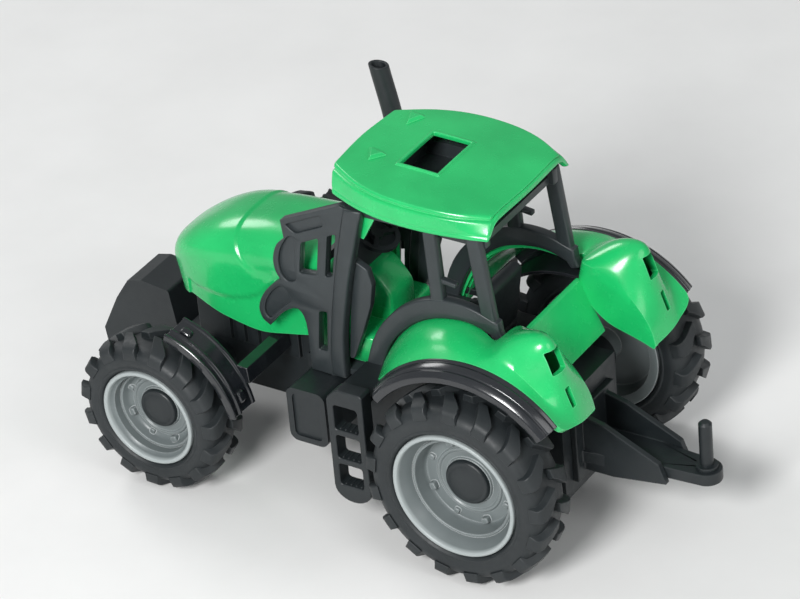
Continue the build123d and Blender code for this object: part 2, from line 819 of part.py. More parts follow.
with BuildPart() as hitch_pin:
    with BuildSketch(level(hitch_plate_z - hitch_plate_thickness)):
        with Locations((hitch_x, 0)):
            Circle(1.3 + press)
    extrude(amount=hitch_plate_thickness)
    with BuildSketch(level(hitch_plate_z)):
        with Locations((hitch_x, 0)):
            Circle(2.6)
    extrude(amount=1.0)
    with BuildSketch(level(hitch_plate_z + 1.0)):
        with Locations((hitch_x, 0)):
            Circle(hitch_pin_r)
    extrude(amount=hitch_pin_free + 0.6)
    chamfer(hitch_pin.edges().sort_by(Axis.Z)[-1], length=0.6)
hitch_pin.part.label = "hitch_pin"
export_step(hitch_pin.part, "parts/hitch_pin.step")

# ---------- Inertia drive ----------

lay_centre = (gear_spacing, rear_tyre_r)
flywheel_centre = (2 * gear_spacing, rear_tyre_r)
case_low = (-9.0, 16.0)
case_high = (26.7, 32.8)
case_left_y = 6.4
case_right_y = -9.4
case_screws = ((-7.4, 31.2), (25.1, 17.4))
foot_width = 3.0


def spur_outline(teeth, turn=0):
    """Slim-toothed spur gear outline; the slim teeth leave backlash on both flanks."""
    pitch_r = gear_module * teeth / 2
    root_r = pitch_r - 1.05 * gear_module
    tip_r = pitch_r + 0.66 * gear_module
    with BuildSketch() as outline:
        Circle(root_r)
        with PolarLocations(0, teeth, start_angle=turn):
            Polygon(
                (root_r - 0.3, -0.42),
                (pitch_r, -0.28),
                (tip_r, -0.14),
                (tip_r, 0.14),
                (pitch_r, 0.28),
                (root_r - 0.3, 0.42),
                align=None,
            )
    return outline.sketch


def at_centre(centre, y):
    """Upright plane whose origin is a shaft centre, at width y."""
    return Plane(origin=(rear_x + centre[0], y, centre[1]), x_dir=(1, 0, 0), z_dir=(0, -1, 0))


with BuildPart() as axle_gear:
    with BuildSketch(at_centre(rear_centre, 5.0)):
        add(spur_outline(gear_teeth))
    extrude(amount=3.0)
    with BuildSketch(at_centre(rear_centre, 6.0)):
        Circle(3.2)
    extrude(amount=5.0)
    with BuildSketch(at_centre(rear_centre, 6.0)):
        Circle(axle_r + press)
    extrude(amount=5.0, mode=Mode.SUBTRACT)
axle_gear.part.label = "axle_gear"
export_step(axle_gear.part, "parts/axle_gear.step")

half_pitch = 180 / pinion_teeth
with BuildPart() as lay_gear:
    with BuildSketch(at_centre(lay_centre, -0.8)):
        add(spur_outline(gear_teeth))
    extrude(amount=2.4)
    with BuildSketch(at_centre(lay_centre, 5.4)):
        add(spur_outline(pinion_teeth, half_pitch))
    extrude(amount=6.2)
    with BuildSketch(at_centre(lay_centre, 5.4)):
        Circle(shaft_r + press)
    extrude(amount=8.6, mode=Mode.SUBTRACT)
lay_gear.part.label = "lay_gear"
export_step(lay_gear.part, "parts/lay_gear.step")

with BuildPart() as flywheel_pinion:
    with BuildSketch(at_centre(flywheel_centre, -0.6)):
        add(spur_outline(pinion_teeth, half_pitch))
        Circle(shaft_r + press, mode=Mode.SUBTRACT)
    extrude(amount=4.4)
flywheel_pinion.part.label = "flywheel_pinion"
export_step(flywheel_pinion.part, "parts/flywheel_pinion.step")

with BuildPart() as flywheel:
    with BuildSketch(at_centre(flywheel_centre, -5.0)):
        Circle(flywheel_r)
        Circle(shaft_r + press, mode=Mode.SUBTRACT)
    extrude(amount=4.0)
    chamfer(flywheel.edges().group_by(SortBy.LENGTH)[-1], length=0.3)
flywheel.part.label = "flywheel"
export_step(flywheel.part, "parts/flywheel.step")

for name, centre in (("lay_shaft", lay_centre), ("flywheel_shaft", flywheel_centre)):
    with BuildPart() as shaft:
        with BuildSketch(at_centre(centre, case_left_y + case_wall)):
            Circle(shaft_r)
        extrude(amount=case_left_y - case_right_y + 2 * case_wall)
    shaft.part.label = name
    export_step(shaft.part, f"parts/{name}.step")

case_centre = ((case_low[0] + case_high[0]) / 2, (case_low[1] + case_high[1]) / 2)
case_size = (case_high[0] - case_low[0], case_high[1] - case_low[1])
for side, inner_y, screw_hole_r in (("left", case_left_y, 0.9), ("right", case_right_y, 0.8)):
    with BuildPart() as gearbox_case:
        with BuildSketch(upright(0)):
            with Locations(case_centre):
                Rectangle(case_size[0] + 2 * case_wall, case_size[1] + 2 * case_wall)
                Rectangle(*case_size, mode=Mode.SUBTRACT)
            with Locations(*case_screws):
                Circle(1.8)
            for x in (case_low[0], case_high[0] - foot_width):
                with Locations((x, chassis_floor_z)):
                    Rectangle(foot_width, case_low[1] - chassis_floor_z, align=(Align.MIN, Align.MIN))
        extrude(amount=-inner_y)
        with BuildSketch(upright(inner_y)):
            with Locations(case_centre):
                Rectangle(case_size[0] + 2 * case_wall, case_size[1] + 2 * case_wall)
        extrude(amount=-case_wall if inner_y > 0 else case_wall)
        with BuildSketch(upright(0)):
            with Locations(rear_centre):
                Circle(axle_r + 0.4)
            with Locations(lay_centre, flywheel_centre):
                Circle(shaft_r + running)
            with Locations(*case_screws):
                Circle(screw_hole_r)
        extrude(amount=15, both=True, mode=Mode.SUBTRACT)
    gearbox_case.part.label = f"gearbox_case_{side}"
    export_step(gearbox_case.part, f"parts/gearbox_case_{side}.step")

with BuildPart() as gearbox_screws:
    with BuildSketch(upright(case_left_y + case_wall + 1.0)):
        with Locations(*case_screws):
            Circle(1.6)
    extrude(amount=1.0)
    with BuildSketch(upright(case_left_y + case_wall)):
        with Locations(*case_screws):
            Circle(0.8 + press)
    extrude(amount=case_left_y + case_wall + 7.0)
gearbox_screws.part.label = "gearbox_screws"
export_step(gearbox_screws.part, "parts/gearbox_screws.step")
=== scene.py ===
"""Toy farm tractor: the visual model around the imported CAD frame, in metres."""

import json
from math import cos, pi, radians, sin

import bmesh
import bpy
from mathutils import Matrix, Quaternion, Vector


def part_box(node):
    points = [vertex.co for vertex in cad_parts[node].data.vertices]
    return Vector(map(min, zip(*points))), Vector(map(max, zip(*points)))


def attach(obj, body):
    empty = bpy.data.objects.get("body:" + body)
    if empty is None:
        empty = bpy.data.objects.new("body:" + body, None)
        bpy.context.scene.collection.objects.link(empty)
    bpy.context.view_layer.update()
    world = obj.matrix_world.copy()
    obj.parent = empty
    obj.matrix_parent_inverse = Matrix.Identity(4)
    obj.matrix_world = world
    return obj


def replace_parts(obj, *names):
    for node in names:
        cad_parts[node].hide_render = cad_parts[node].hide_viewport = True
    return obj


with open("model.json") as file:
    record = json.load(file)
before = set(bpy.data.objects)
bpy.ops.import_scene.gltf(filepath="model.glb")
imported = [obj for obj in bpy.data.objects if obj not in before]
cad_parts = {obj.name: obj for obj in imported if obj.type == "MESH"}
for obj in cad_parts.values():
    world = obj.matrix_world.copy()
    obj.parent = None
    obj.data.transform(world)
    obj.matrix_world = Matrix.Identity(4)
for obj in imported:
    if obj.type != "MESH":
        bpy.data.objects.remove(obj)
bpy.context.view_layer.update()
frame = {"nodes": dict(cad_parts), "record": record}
nodes = frame["nodes"]

MM = 0.001
skin_thickness = 1.4  # of the fender and bonnet mouldings, in millimetres
sides = (("left", 1), ("right", -1))


# ---------- Materials ----------

def new_material(name):
    """Empty node material with its Principled shader; returns the material, node tree and shader."""
    material = bpy.data.materials.new(name)
    material.use_nodes = True
    tree = material.node_tree
    return material, tree, tree.nodes["Principled BSDF"]


def noise(tree, scale, detail=4.0, roughness=0.55, coordinates=None):
    """Noise texture over object coordinates, with the scale in features per metre."""
    if coordinates is None:
        coordinates = tree.nodes.new("ShaderNodeTexCoord").outputs["Object"]
    texture = tree.nodes.new("ShaderNodeTexNoise")
    texture.inputs["Scale"].default_value = scale
    texture.inputs["Detail"].default_value = detail
    texture.inputs["Roughness"].default_value = roughness
    tree.links.new(coordinates, texture.inputs["Vector"])
    return texture.outputs["Fac"]


def spread(tree, value, low, high, start=0.3, end=0.7):
    """Maps a value in start..end to low..high."""
    ramp = tree.nodes.new("ShaderNodeMapRange")
    for key, number in (("From Min", start), ("From Max", end), ("To Min", low), ("To Max", high)):
        ramp.inputs[key].default_value = number
    tree.links.new(value, ramp.inputs["Value"])
    return ramp.outputs["Result"]


def blend_colors(tree, factor, first, second):
    """Mixes two colours by a factor; each is an RGB triple or a socket."""
    mix = tree.nodes.new("ShaderNodeMix")
    mix.data_type = "RGBA"
    tree.links.new(factor, mix.inputs["Factor"])
    for socket, color in ((mix.inputs["A"], first), (mix.inputs["B"], second)):
        if isinstance(color, tuple):
            socket.default_value = (*color, 1.0)
        else:
            tree.links.new(color, socket)
    return mix.outputs["Result"]


def add_bumps(tree, shader, layers):
    """Stacks bump layers, each a (height socket, depth in metres, strength)."""
    normal = None
    for height, depth, strength in layers:
        bump = tree.nodes.new("ShaderNodeBump")
        bump.inputs["Distance"].default_value = depth
        bump.inputs["Strength"].default_value = strength
        tree.links.new(height, bump.inputs["Height"])
        if normal is not None:
            tree.links.new(normal, bump.inputs["Normal"])
        normal = bump.outputs["Normal"]
    tree.links.new(normal, shader.inputs["Normal"])


def edge_highlight_mask(tree, radius=0.00035):
    """Mask for the painted edge highlight: one where the surface bends sharply, from the bevelled normal
    against the true one.
    """
    bevel = tree.nodes.new("ShaderNodeBevel")
    bevel.samples = 4
    bevel.inputs["Radius"].default_value = radius
    geometry = tree.nodes.new("ShaderNodeNewGeometry")
    dot = tree.nodes.new("ShaderNodeVectorMath")
    dot.operation = "DOT_PRODUCT"
    tree.links.new(bevel.outputs["Normal"], dot.inputs[0])
    tree.links.new(geometry.outputs["Normal"], dot.inputs[1])
    return spread(tree, dot.outputs["Value"], 1.0, 0.0, 0.90, 0.995)


def plastic(name, color, rough, coat=0.0, grain=0.25, edge_highlight=0.25, flow=0.12, edge_highlight_color=None):
    """Moulded plastic: slow colour drift, fine mould grain, polished and dusty patches, and a painted
    highlight on the edges.
    """
    material, tree, shader = new_material(name)
    drift = noise(tree, 55, 3.0)
    dust = noise(tree, 420, 6.0, 0.7)
    darker = tuple(channel * (1 - flow) for channel in color)
    lighter = tuple(min(1.0, channel * (1 + flow) + 0.006) for channel in color)
    base = blend_colors(tree, spread(tree, drift, 0, 1), darker, lighter)
    # Painted highlight: sharp edges blend towards this paler colour.
    highlight_color = edge_highlight_color or tuple(min(1.0, channel * 1.5 + 0.03) for channel in color)
    edge = tree.nodes.new("ShaderNodeMath")
    edge.operation = "MULTIPLY"
    edge.inputs[1].default_value = edge_highlight
    tree.links.new(edge_highlight_mask(tree), edge.inputs[0])
    base = blend_colors(tree, edge.outputs["Value"], base, highlight_color)
    tree.links.new(base, shader.inputs["Base Color"])
    tree.links.new(spread(tree, dust, rough * 0.85, rough * 1.25), shader.inputs["Roughness"])
    shader.inputs["Coat Weight"].default_value = coat
    shader.inputs["Coat Roughness"].default_value = 0.12
    shader.inputs["IOR"].default_value = 1.49
    add_bumps(
        tree,
        shader,
        (
            (noise(tree, 110, 2.0), 0.0006, grain * 0.5),
            (noise(tree, 5200, 3.0), 0.00004, grain),
        ),
    )
    return material


def add_lip_highlight(material, color):
    """Painted highlight on the rim lip: blends in a brighter colour where the mesh attribute "lip" is one."""
    tree = material.node_tree
    shader = tree.nodes["Principled BSDF"]
    base = shader.inputs["Base Color"].links[0].from_socket
    attribute = tree.nodes.new("ShaderNodeAttribute")
    attribute.attribute_name = "lip"
    tree.links.new(blend_colors(tree, attribute.outputs["Fac"], base, color), shader.inputs["Base Color"])


def metal(name, color, rough):
    """Drawn or plated steel with fine scratches along one way."""
    material, tree, shader = new_material(name)
    shader.inputs["Metallic"].default_value = 1.0
    coordinates = tree.nodes.new("ShaderNodeTexCoord")
    stretch = tree.nodes.new("ShaderNodeMapping")
    stretch.inputs["Scale"].default_value = (1.0, 0.06, 1.0)
    tree.links.new(coordinates.outputs["Object"], stretch.inputs["Vector"])
    lines = noise(tree, 3000, 4.0, 0.6, stretch.outputs["Vector"])
    tint = tuple(channel * 0.8 for channel in color)
    tree.links.new(blend_colors(tree, spread(tree, lines, 0, 1), tint, color), shader.inputs["Base Color"])
    tree.links.new(spread(tree, lines, rough * 0.7, rough * 1.4), shader.inputs["Roughness"])
    add_bumps(tree, shader, ((lines, 0.00003, 0.4),))
    return material


# The paler edges set for each plastic below are a painted highlight of the rounded edges.
green = plastic(
    "green_gloss", (0.009, 0.47, 0.125), 0.24, coat=0.3, grain=0.08, edge_highlight=0.5, edge_highlight_color=(0.16, 0.75, 0.34)
)
grey = plastic("cab_grey", (0.024, 0.031, 0.034), 0.38, grain=0.22, edge_highlight=0.35)
black = plastic("black_satin", (0.009, 0.013, 0.015), 0.42, grain=0.25, edge_highlight=0.25)
gloss = plastic("black_gloss", (0.010, 0.012, 0.015), 0.20, coat=0.5, grain=0.08, edge_highlight=0.20)
rim_grey = plastic(
    "rim_grey", (0.145, 0.168, 0.170), 0.34, grain=0.15, edge_highlight=0.9, edge_highlight_color=(0.50, 0.53, 0.53)
)
# Painted highlight along the rims' outer lip.
add_lip_highlight(rim_grey, (0.34, 0.375, 0.375))
rubber = plastic("tyre_black", (0.011, 0.015, 0.017), 0.50, grain=0.35, edge_highlight=0.20)
nylon = plastic("natural_nylon", (0.78, 0.77, 0.72), 0.45, grain=0.2, edge_highlight=0.1)
steel = metal("bright_steel", (0.62, 0.62, 0.63), 0.28)

slot_materials = {
    "green_plastic": green,
    "grey_plastic": grey,
    "black_plastic": black,
    "gloss_black": gloss,
    "rim_plastic": rim_grey,
    "tyre": rubber,
    "steel": steel,
    "white_plastic": nylon,
}
node_slot = {row["node"]: row["material_slot"] for row in frame["record"]["subparts"]}

for name, node in nodes.items():
    node.data.materials.clear()
    node.data.materials.append(slot_materials[node_slot[name]])


# ---------- Shared building steps ----------

rear_axle_low, rear_axle_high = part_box("rear_axle")
front_axle_low, front_axle_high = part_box("front_axle")
rear_centre = (rear_axle_low + rear_axle_high) / 2
front_centre = (front_axle_low + front_axle_high) / 2
node_body = {
    node: body for body, members in frame["record"]["behaviour"]["bodies"].items() for node in members
}


def at(x, y, z):
    """Point in metres from millimetres: x ahead of the rear axle, y to the left, z above the ground."""
    return Vector((rear_centre.x + x * MM, y * MM, z * MM))


def smooth_line(keys, count):
    """Samples, evenly spread over the spans, of a Catmull-Rom curve through the key points."""
    keys = [Vector(key) for key in keys]
    padded = [2 * keys[0] - keys[1], *keys, 2 * keys[-1] - keys[-2]]
    spans = len(keys) - 1
    samples = []
    for step in range(count + 1):
        span = min(int(step * spans / count), spans - 1)
        t = step * spans / count - span
        a, b, c, d = padded[span : span + 4]
        samples.append(
            b + 0.5 * t * (c - a + t * (2 * a - 5 * b + 4 * c - d + t * (3 * (b - c) + d - a)))
        )
    return samples


def rounded(points, radius, steps=4):
    """The closed flat outline with each corner replaced by a short curve."""
    outline = []
    for index, corner in enumerate(points):
        corner = Vector(corner)
        before = Vector(points[index - 1]) - corner
        after = Vector(points[(index + 1) % len(points)]) - corner
        start = corner + before.normalized() * min(radius, before.length * 0.45)
        end = corner + after.normalized() * min(radius, after.length * 0.45)
        for step in range(steps + 1):
            t = step / steps
            outline.append((1 - t) ** 2 * start + 2 * t * (1 - t) * corner + t * t * end)
    return outline


def add_grid(bm, rows, around=False, turn=False):
    """Quads between rows of points, closed round each row if asked; returns the rows of vertices."""
    verts = [[bm.verts.new(point) for point in row] for row in rows]
    width = len(verts[0])
    for low, high in zip(verts, verts[1:]):
        for index in range(width if around else width - 1):
            after = (index + 1) % width
            corners = (low[index], low[after], high[after], high[index])
            bm.faces.new(corners if turn else corners[::-1])
    return verts


def add_loft(bm, rings):
    """Closed solid through rings of points, capped at both ends."""
    verts = add_grid(bm, rings, around=True)
    bm.faces.new(verts[0])
    bm.faces.new(verts[-1][::-1])


def add_block(bm, low, high):
    """Closed box between two corners in millimetres."""
    corners = ((low[0], low[1]), (high[0], low[1]), (high[0], high[1]), (low[0], high[1]))
    add_loft(bm, [[at(x, y, z) for x, y in corners] for z in (low[2], high[2])])


def add_plate(bm, outlines, y_low, y_high, bevel):
    """Upright plate with holes and softened edges, between two widths; outlines are in millimetres."""
    curve = bpy.data.curves.new("plate_outline", "CURVE")
    curve.dimensions = "2D"
    curve.fill_mode = "BOTH"
    curve.extrude = (y_high - y_low) / 2 * MM - bevel * MM
    curve.bevel_depth = bevel * MM
    curve.bevel_resolution = 1
    curve.offset = -bevel * MM
    for outline in outlines:
        spline = curve.splines.new("POLY")
        spline.points.add(len(outline) - 1)
        for point, (x, z) in zip(spline.points, outline):
            point.co = (rear_centre.x + x * MM, z * MM, 0.0, 1.0)
        spline.use_cyclic_u = True
    holder = bpy.data.objects.new("plate_outline", curve)
    mesh = bpy.data.meshes.new_from_object(holder)
    middle = Matrix.Translation((0, (y_low + y_high) / 2 * MM, 0))
    mesh.transform(middle @ Matrix.Rotation(radians(90), 4, "X"))
    bm.from_mesh(mesh)
    bpy.data.objects.remove(holder)
    bpy.data.curves.remove(curve)
    bpy.data.meshes.remove(mesh)
    bmesh.ops.remove_doubles(bm, verts=bm.verts, dist=0.002 * MM)


def spin_profile(bm, centre, sign, profile, start=0, end=360, steps=96):
    """Turns a closed (radius, y) profile in millimetres about a wheel axis; the sign sets y's direction."""
    full = end - start == 360
    rings = []
    for step in range(steps if full else steps + 1):
        angle = radians(start + (end - start) * step / steps)
        rings.append(
            [centre + Vector((r * cos(angle), sign * y, r * sin(angle))) * MM for r, y in profile]
        )
    if full:
        add_grid(bm, rings + rings[:1], around=True)
        bmesh.ops.remove_doubles(bm, verts=bm.verts, dist=0.001 * MM)
    else:
        add_loft(bm, rings)


def mirror_copy(bm):
    """Adds the mirror image on the other side of the tractor."""
    twin = bm.copy()
    bmesh.ops.scale(twin, vec=(1, -1, 1), verts=twin.verts)
    bmesh.ops.reverse_faces(twin, faces=twin.faces)
    mesh = bpy.data.meshes.new("twin")
    twin.to_mesh(mesh)
    twin.free()
    bm.from_mesh(mesh)
    bpy.data.meshes.remove(mesh)


def add_modifiers(piece, bevel=0.0, subdivisions=0, angle=35):
    """Subdivision for curved skins, a bevel for the mould radii, and normals weighted by area."""
    if subdivisions:
        subdivision = piece.modifiers.new("skin", "SUBSURF")
        subdivision.levels = subdivisions
        subdivision.render_levels = subdivisions
    if bevel:
        edges = piece.modifiers.new("mould_radius", "BEVEL")
        edges.width = bevel * MM
        edges.segments = 2
        edges.limit_method = "ANGLE"
        edges.angle_limit = radians(angle)
        edges.harden_normals = False
        piece.modifiers.new("face_weights", "WEIGHTED_NORMAL").keep_sharp = True


def add_object(name, data):
    """Makes an object for a mesh, light or camera and puts it in the scene."""
    made = bpy.data.objects.new(name, data)
    bpy.context.scene.collection.objects.link(made)
    return made


def baked_mesh(piece):
    """New mesh of a piece with its modifiers applied."""
    bpy.context.view_layer.update()
    return bpy.data.meshes.new_from_object(piece.evaluated_get(bpy.context.evaluated_depsgraph_get()))


def add_shell(piece):
    """Gives a skin its wall thickness, inwards from its surface."""
    shell = piece.modifiers.new("thickness", "SOLIDIFY")
    shell.thickness = skin_thickness * MM
    shell.offset = -1.0
    return shell


def add_detail(name, bm, node, outward=True, **modifiers):
    """Makes an object that rides on a CAD node's body and takes the material of that node's slot."""
    if outward:
        bmesh.ops.recalc_face_normals(bm, faces=bm.faces)
    mesh = bpy.data.meshes.new(name)
    bm.to_mesh(mesh)
    bm.free()
    mesh.shade_smooth()
    if not modifiers.get("subdivisions"):
        mesh.set_sharp_from_angle(angle=radians(50))
    mesh.materials.append(slot_materials[node_slot[node]])
    piece = add_object(name, mesh)
    add_modifiers(piece, **modifiers)
    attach(piece, node_body[node])
    return piece


def finish_piece(name, bm, node, **settings):
    """Makes the object that stands for a CAD node."""
    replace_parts(add_detail(name, bm, node, **settings), node)


# ---------- Roof ----------

roof_top_z = 87.5
roof_front_x = 42
roof_middle = Vector((22.0, 0))


def roof_loop(front, side, rear, side_steps=12):
    """Closed loop of (x, y) through the front edge, a side from front to rear, and the rear edge."""
    front, rear = Vector(front), Vector(rear)
    corners = [Vector(key) for key in side]
    half = [front.lerp(corners[0], share) for share in (0.0, 0.5, 0.95)]
    edge = smooth_line(side, side_steps)
    half += [edge[0], edge[0].lerp(edge[1], 0.15), *edge[1:-1], edge[-1].lerp(edge[-2], 0.15), edge[-1]]
    half += [corners[-1].lerp(rear, share) for share in (0.05, 0.16, 0.28, 0.6, 1.0)]
    return half + [Vector((x, -y)) for x, y in reversed(half[1:-1])]


def roof_height(x, y):
    """Height of the lightly crowned top, which falls away towards the rear."""
    back = (roof_front_x - x) / roof_front_x
    return roof_top_z - 2.2 * abs(back) ** 3 - 0.7 * (y / 20) ** 2


def rear_rise(x, y):
    """How much higher the skirt ends across the rear than at the sides."""
    share = min(1.0, max(0.0, (17.2 - abs(y)) / 2.4))
    return 3.3 * share * share * (3 - 2 * share) if x < 1 else 0.0


def build_roof():
    """Roof moulding: crowned top with a framed opening, a groove under the edge and bulged skirts."""
    crease = roof_loop(
        (43.2, 0),
        ((42.4, 12.8), (34.0, 17.5), (25.0, 19.8), (15.0, 19.8), (7.0, 18.1), (0.2, 14.6)),
        (-0.6, 0),
    )
    hem = roof_loop(
        (42.6, 0),
        ((41.7, 16.3), (33.0, 19.5), (24.0, 20.9), (14.0, 20.8), (5.0, 19.5), (-0.7, 18.2)),
        (-1.3, 0),
    )
    hem_heights = [80.0 + 0.9 * (x / roof_front_x) ** 2 + rear_rise(x, y) for x, y in hem]
    opening = roof_loop((28.3, 0), ((28.3, 7.3), (18.4, 7.3)), (18.4, 0))
    frame_edge = roof_loop((29.1, 0), ((29.1, 8.1), (17.6, 8.1)), (17.6, 0))
    frame_rise, thickness, skirt = 0.45, 1.3, 1.4

    def top_ring(loop, rise=0.0):
        return [at(x, y, roof_height(x, y) + rise) for x, y in loop]

    def between(share, rise=0.0, inner=frame_edge, outer=crease):
        return top_ring([a.lerp(b, share) for a, b in zip(inner, outer)], rise)

    def side_ring(share, outwards=0.0):
        ring = []
        for top, foot, foot_z in zip(crease, hem, hem_heights):
            flat = top.lerp(foot, share)
            flat += (flat - roof_middle).normalized() * (outwards + 1.8 * share * (1 - share))
            ring.append(at(flat.x, flat.y, roof_height(*top) * (1 - share) + foot_z * share))
        return ring

    def side_under(share):
        return [
            point + (middle - point) * 0.12 for point, middle in zip(side_ring(share), between(0.0, -3.0))
        ]

    def under_ring(inset, height):
        ring = []
        for flat, foot_z in zip(hem, hem_heights):
            moved = flat - (flat - roof_middle).normalized() * inset
            ring.append(at(moved.x, moved.y, foot_z if height is None else max(height, foot_z + 0.3)))
        return ring

    rings = [
        top_ring(opening, -0.7),
        top_ring(opening, -0.5),
        top_ring(opening, frame_rise - 0.2),
        between(0.25, frame_rise, opening, frame_edge),
        between(0.75, frame_rise, opening, frame_edge),
        top_ring(frame_edge, frame_rise - 0.15),
        top_ring(frame_edge),
        between(0.06),
        between(0.35),
        between(0.7),
        between(0.975),
        between(1.0, -0.05),
        side_ring(0.02, 0.1),
        side_ring(0.14, 0.1),
        side_ring(0.17, -0.4),
        side_ring(0.21, -0.4),
        side_ring(0.24, 0.1),
        side_ring(0.30, 0.14),
        side_ring(0.5),
        side_ring(0.76),
        side_ring(0.80, -0.2),
        side_ring(0.84),
        side_ring(0.97),
        under_ring(0.25, None),
        under_ring(skirt, None),
        under_ring(skirt + 0.1, 80.9),
        side_under(0.2),
        between(0.8, -thickness),
        between(0.1, -thickness),
        top_ring(frame_edge, -0.8),
        top_ring(opening, -0.7),
    ]
    bm = bmesh.new()
    add_grid(bm, rings, around=True)
    bmesh.ops.remove_doubles(bm, verts=bm.verts, dist=0.001 * MM)
    finish_piece("roof_skin", bm, "cab_roof", subdivisions=2)


def build_roof_marks():
    """Two low wedges on the front of the roof, and the tabs behind the front pillars that clip it on."""
    bm = bmesh.new()
    for points in (((38.4, 4.4), (33.0, 5.6), (35.8, 9.0)), ((38.8, -13.6), (34.0, -12.9), (36.2, -8.0))):
        middle = sum((Vector(point) for point in points), Vector((0, 0))) / 3
        rings = []
        for shrink, rise in ((1.0, -0.6), (1.0, 0.1), (0.62, 0.75)):
            corners = [middle.lerp(Vector(point), shrink) for point in points]
            rings.append([at(x, y, roof_height(x, y) + rise) for x, y in corners])
        add_loft(bm, rings)
    tab = ((30.2, 81.5), (33.8, 81.5), (35.4, 70.4), (34.6, 70.2), (30.8, 77.0))
    for side in (-1, 1):
        add_plate(bm, [tab], side * 15.3 - 0.4, side * 15.3 + 0.4, 0.1)
    add_detail("roof_marks", bm, "cab_roof", bevel=0.12, angle=20)


# ---------- Fenders ----------

arch_r = 30.6
arch_centre_z = 24.4
arch_edge_y = 30.0


def arch_point(angle, y):
    """Point on the round wheel arch at an angle in degrees from forward."""
    return Vector((arch_r * cos(radians(angle)), y, arch_centre_z + arch_r * sin(radians(angle))))


def wing_row(angle, inner, drop=1.4):
    """Row across the wing: wall foot, inner edge, four points of the bulged top, outer edge."""
    start = Vector(inner)
    end = arch_point(angle, arch_edge_y)
    row = [start + Vector((0, 0, -drop)), start]
    for share in (0.18, 0.4, 0.62, 0.82):
        point = start.lerp(end, share)
        outward = Vector((point.x, 0, point.z - arch_centre_z)).normalized()
        row.append(point + outward * 3.6 * share * (1 - share))
    row.append(end)
    return row


def hump_row(angle, foot, inner, waist, crest, flank, crease):
    """Row across the hump, from (x, z) places at fixed widths out to the arch edge."""
    widths = (14.0, 14.0, 18.0, 22.0, 24.8, 27.2)
    row = [Vector((x, y, z)) for y, (x, z) in zip(widths, (foot, inner, waist, crest, flank, crease))]
    return row + [arch_point(angle, arch_edge_y)]


def fender_rows():
    """Control rows from the front tip, over the wheel, to the tail of the leaf-shaped rear face."""
    front_tip = [Vector((32.4, 17.6, 31.6))] + smooth_line(
        ((32.7, 17.6, 33.3), (30.0, 22.0, 37.0), (24.4, 30.0, 43.4)), 5
    )
    wings = (
        (46, (30.2, 17.6, 40.6)),
        (56, (26.2, 17.6, 47.6)),
        (67, (20.6, 17.6, 53.2)),
        (78, (13.2, 17.6, 56.3)),
        (87, (6.0, 17.6, 56.8)),
        (93, (1.0, 17.9, 55.2)),
        (95.5, (-2.6, 21.6, 55.3)),
    )
    humps = (
        (98, (-2.2, 51.7), (-3.8, 57.3), (-3.6, 57.0), (-3.9, 56.5), (-4.2, 56.0), (-4.6, 56.0)),
        (103, (-5.2, 47.6), (-6.6, 56.9), (-7.0, 58.9), (-7.2, 59.6), (-6.9, 57.8), (-6.8, 55.9)),
        (109, (-8.4, 44.0), (-9.8, 56.2), (-11.2, 60.6), (-11.8, 61.8), (-10.9, 59.6), (-9.7, 54.8)),
        (115, (-11.6, 42.0), (-12.4, 55.0), (-15.0, 60.6), (-16.6, 62.3), (-14.9, 60.0), (-12.6, 52.9)),
        (118, (-13.6, 41.4), (-14.4, 53.6), (-17.2, 58.4), (-18.9, 61.0), (-16.7, 58.0), (-14.2, 51.7)),
        (122, (-15.8, 40.8), (-16.9, 51.4), (-18.8, 54.6), (-19.6, 56.6), (-18.0, 54.6), (-15.9, 50.4)),
        (129, (-19.2, 39.8), (-20.1, 47.6), (-21.0, 49.2), (-21.0, 50.0), (-20.2, 49.4), (-19.2, 47.6)),
        (136, (-21.8, 38.8), (-22.5, 43.6), (-23.0, 44.3), (-23.0, 44.7), (-22.2, 44.7), (-22.2, 44.6)),
        (141, (-22.9, 38.2), (-23.3, 39.5), (-24.0, 40.0), (-24.4, 40.8), (-24.0, 41.4), (-24.3, 42.2)),
    )
    rows = [front_tip]
    rows += [wing_row(angle, inner) for angle, inner in wings]
    rows += [hump_row(*row) for row in humps]
    return rows


def cut_away(piece, cutter_bm):
    """Cuts closed shapes out of a piece and keeps the result as its mesh, with no modifiers left."""
    mesh = bpy.data.meshes.new("cutter")
    bmesh.ops.recalc_face_normals(cutter_bm, faces=cutter_bm.faces)
    cutter_bm.to_mesh(mesh)
    cutter_bm.free()
    cutter = add_object("cutter", mesh)
    cut = piece.modifiers.new("cut", "BOOLEAN")
    cut.object = cutter
    cut.solver = "EXACT"
    baked = baked_mesh(piece)
    piece.modifiers.clear()
    piece.data = baked
    bpy.data.objects.remove(cutter)
    bpy.data.meshes.remove(mesh)


def rear_face_solid(bm, centre, width, height, depth, lean):
    """Box set square to the leaning rear face, for the lamp opening and the slot."""
    turn = radians(lean)
    along = Vector((-cos(turn), 0, sin(turn)))
    up = Vector((sin(turn), 0, cos(turn)))
    across = Vector((0, 1, 0))
    rings = []
    for place in (-depth / 2, depth / 2):
        corners = rounded(((-width, -height), (width, -height), (width, height), (-width, height)), 0.8)
        rings.append([centre + (along * place + across * a / 2 + up * b / 2) * MM for a, b in corners])
    add_loft(bm, rings)


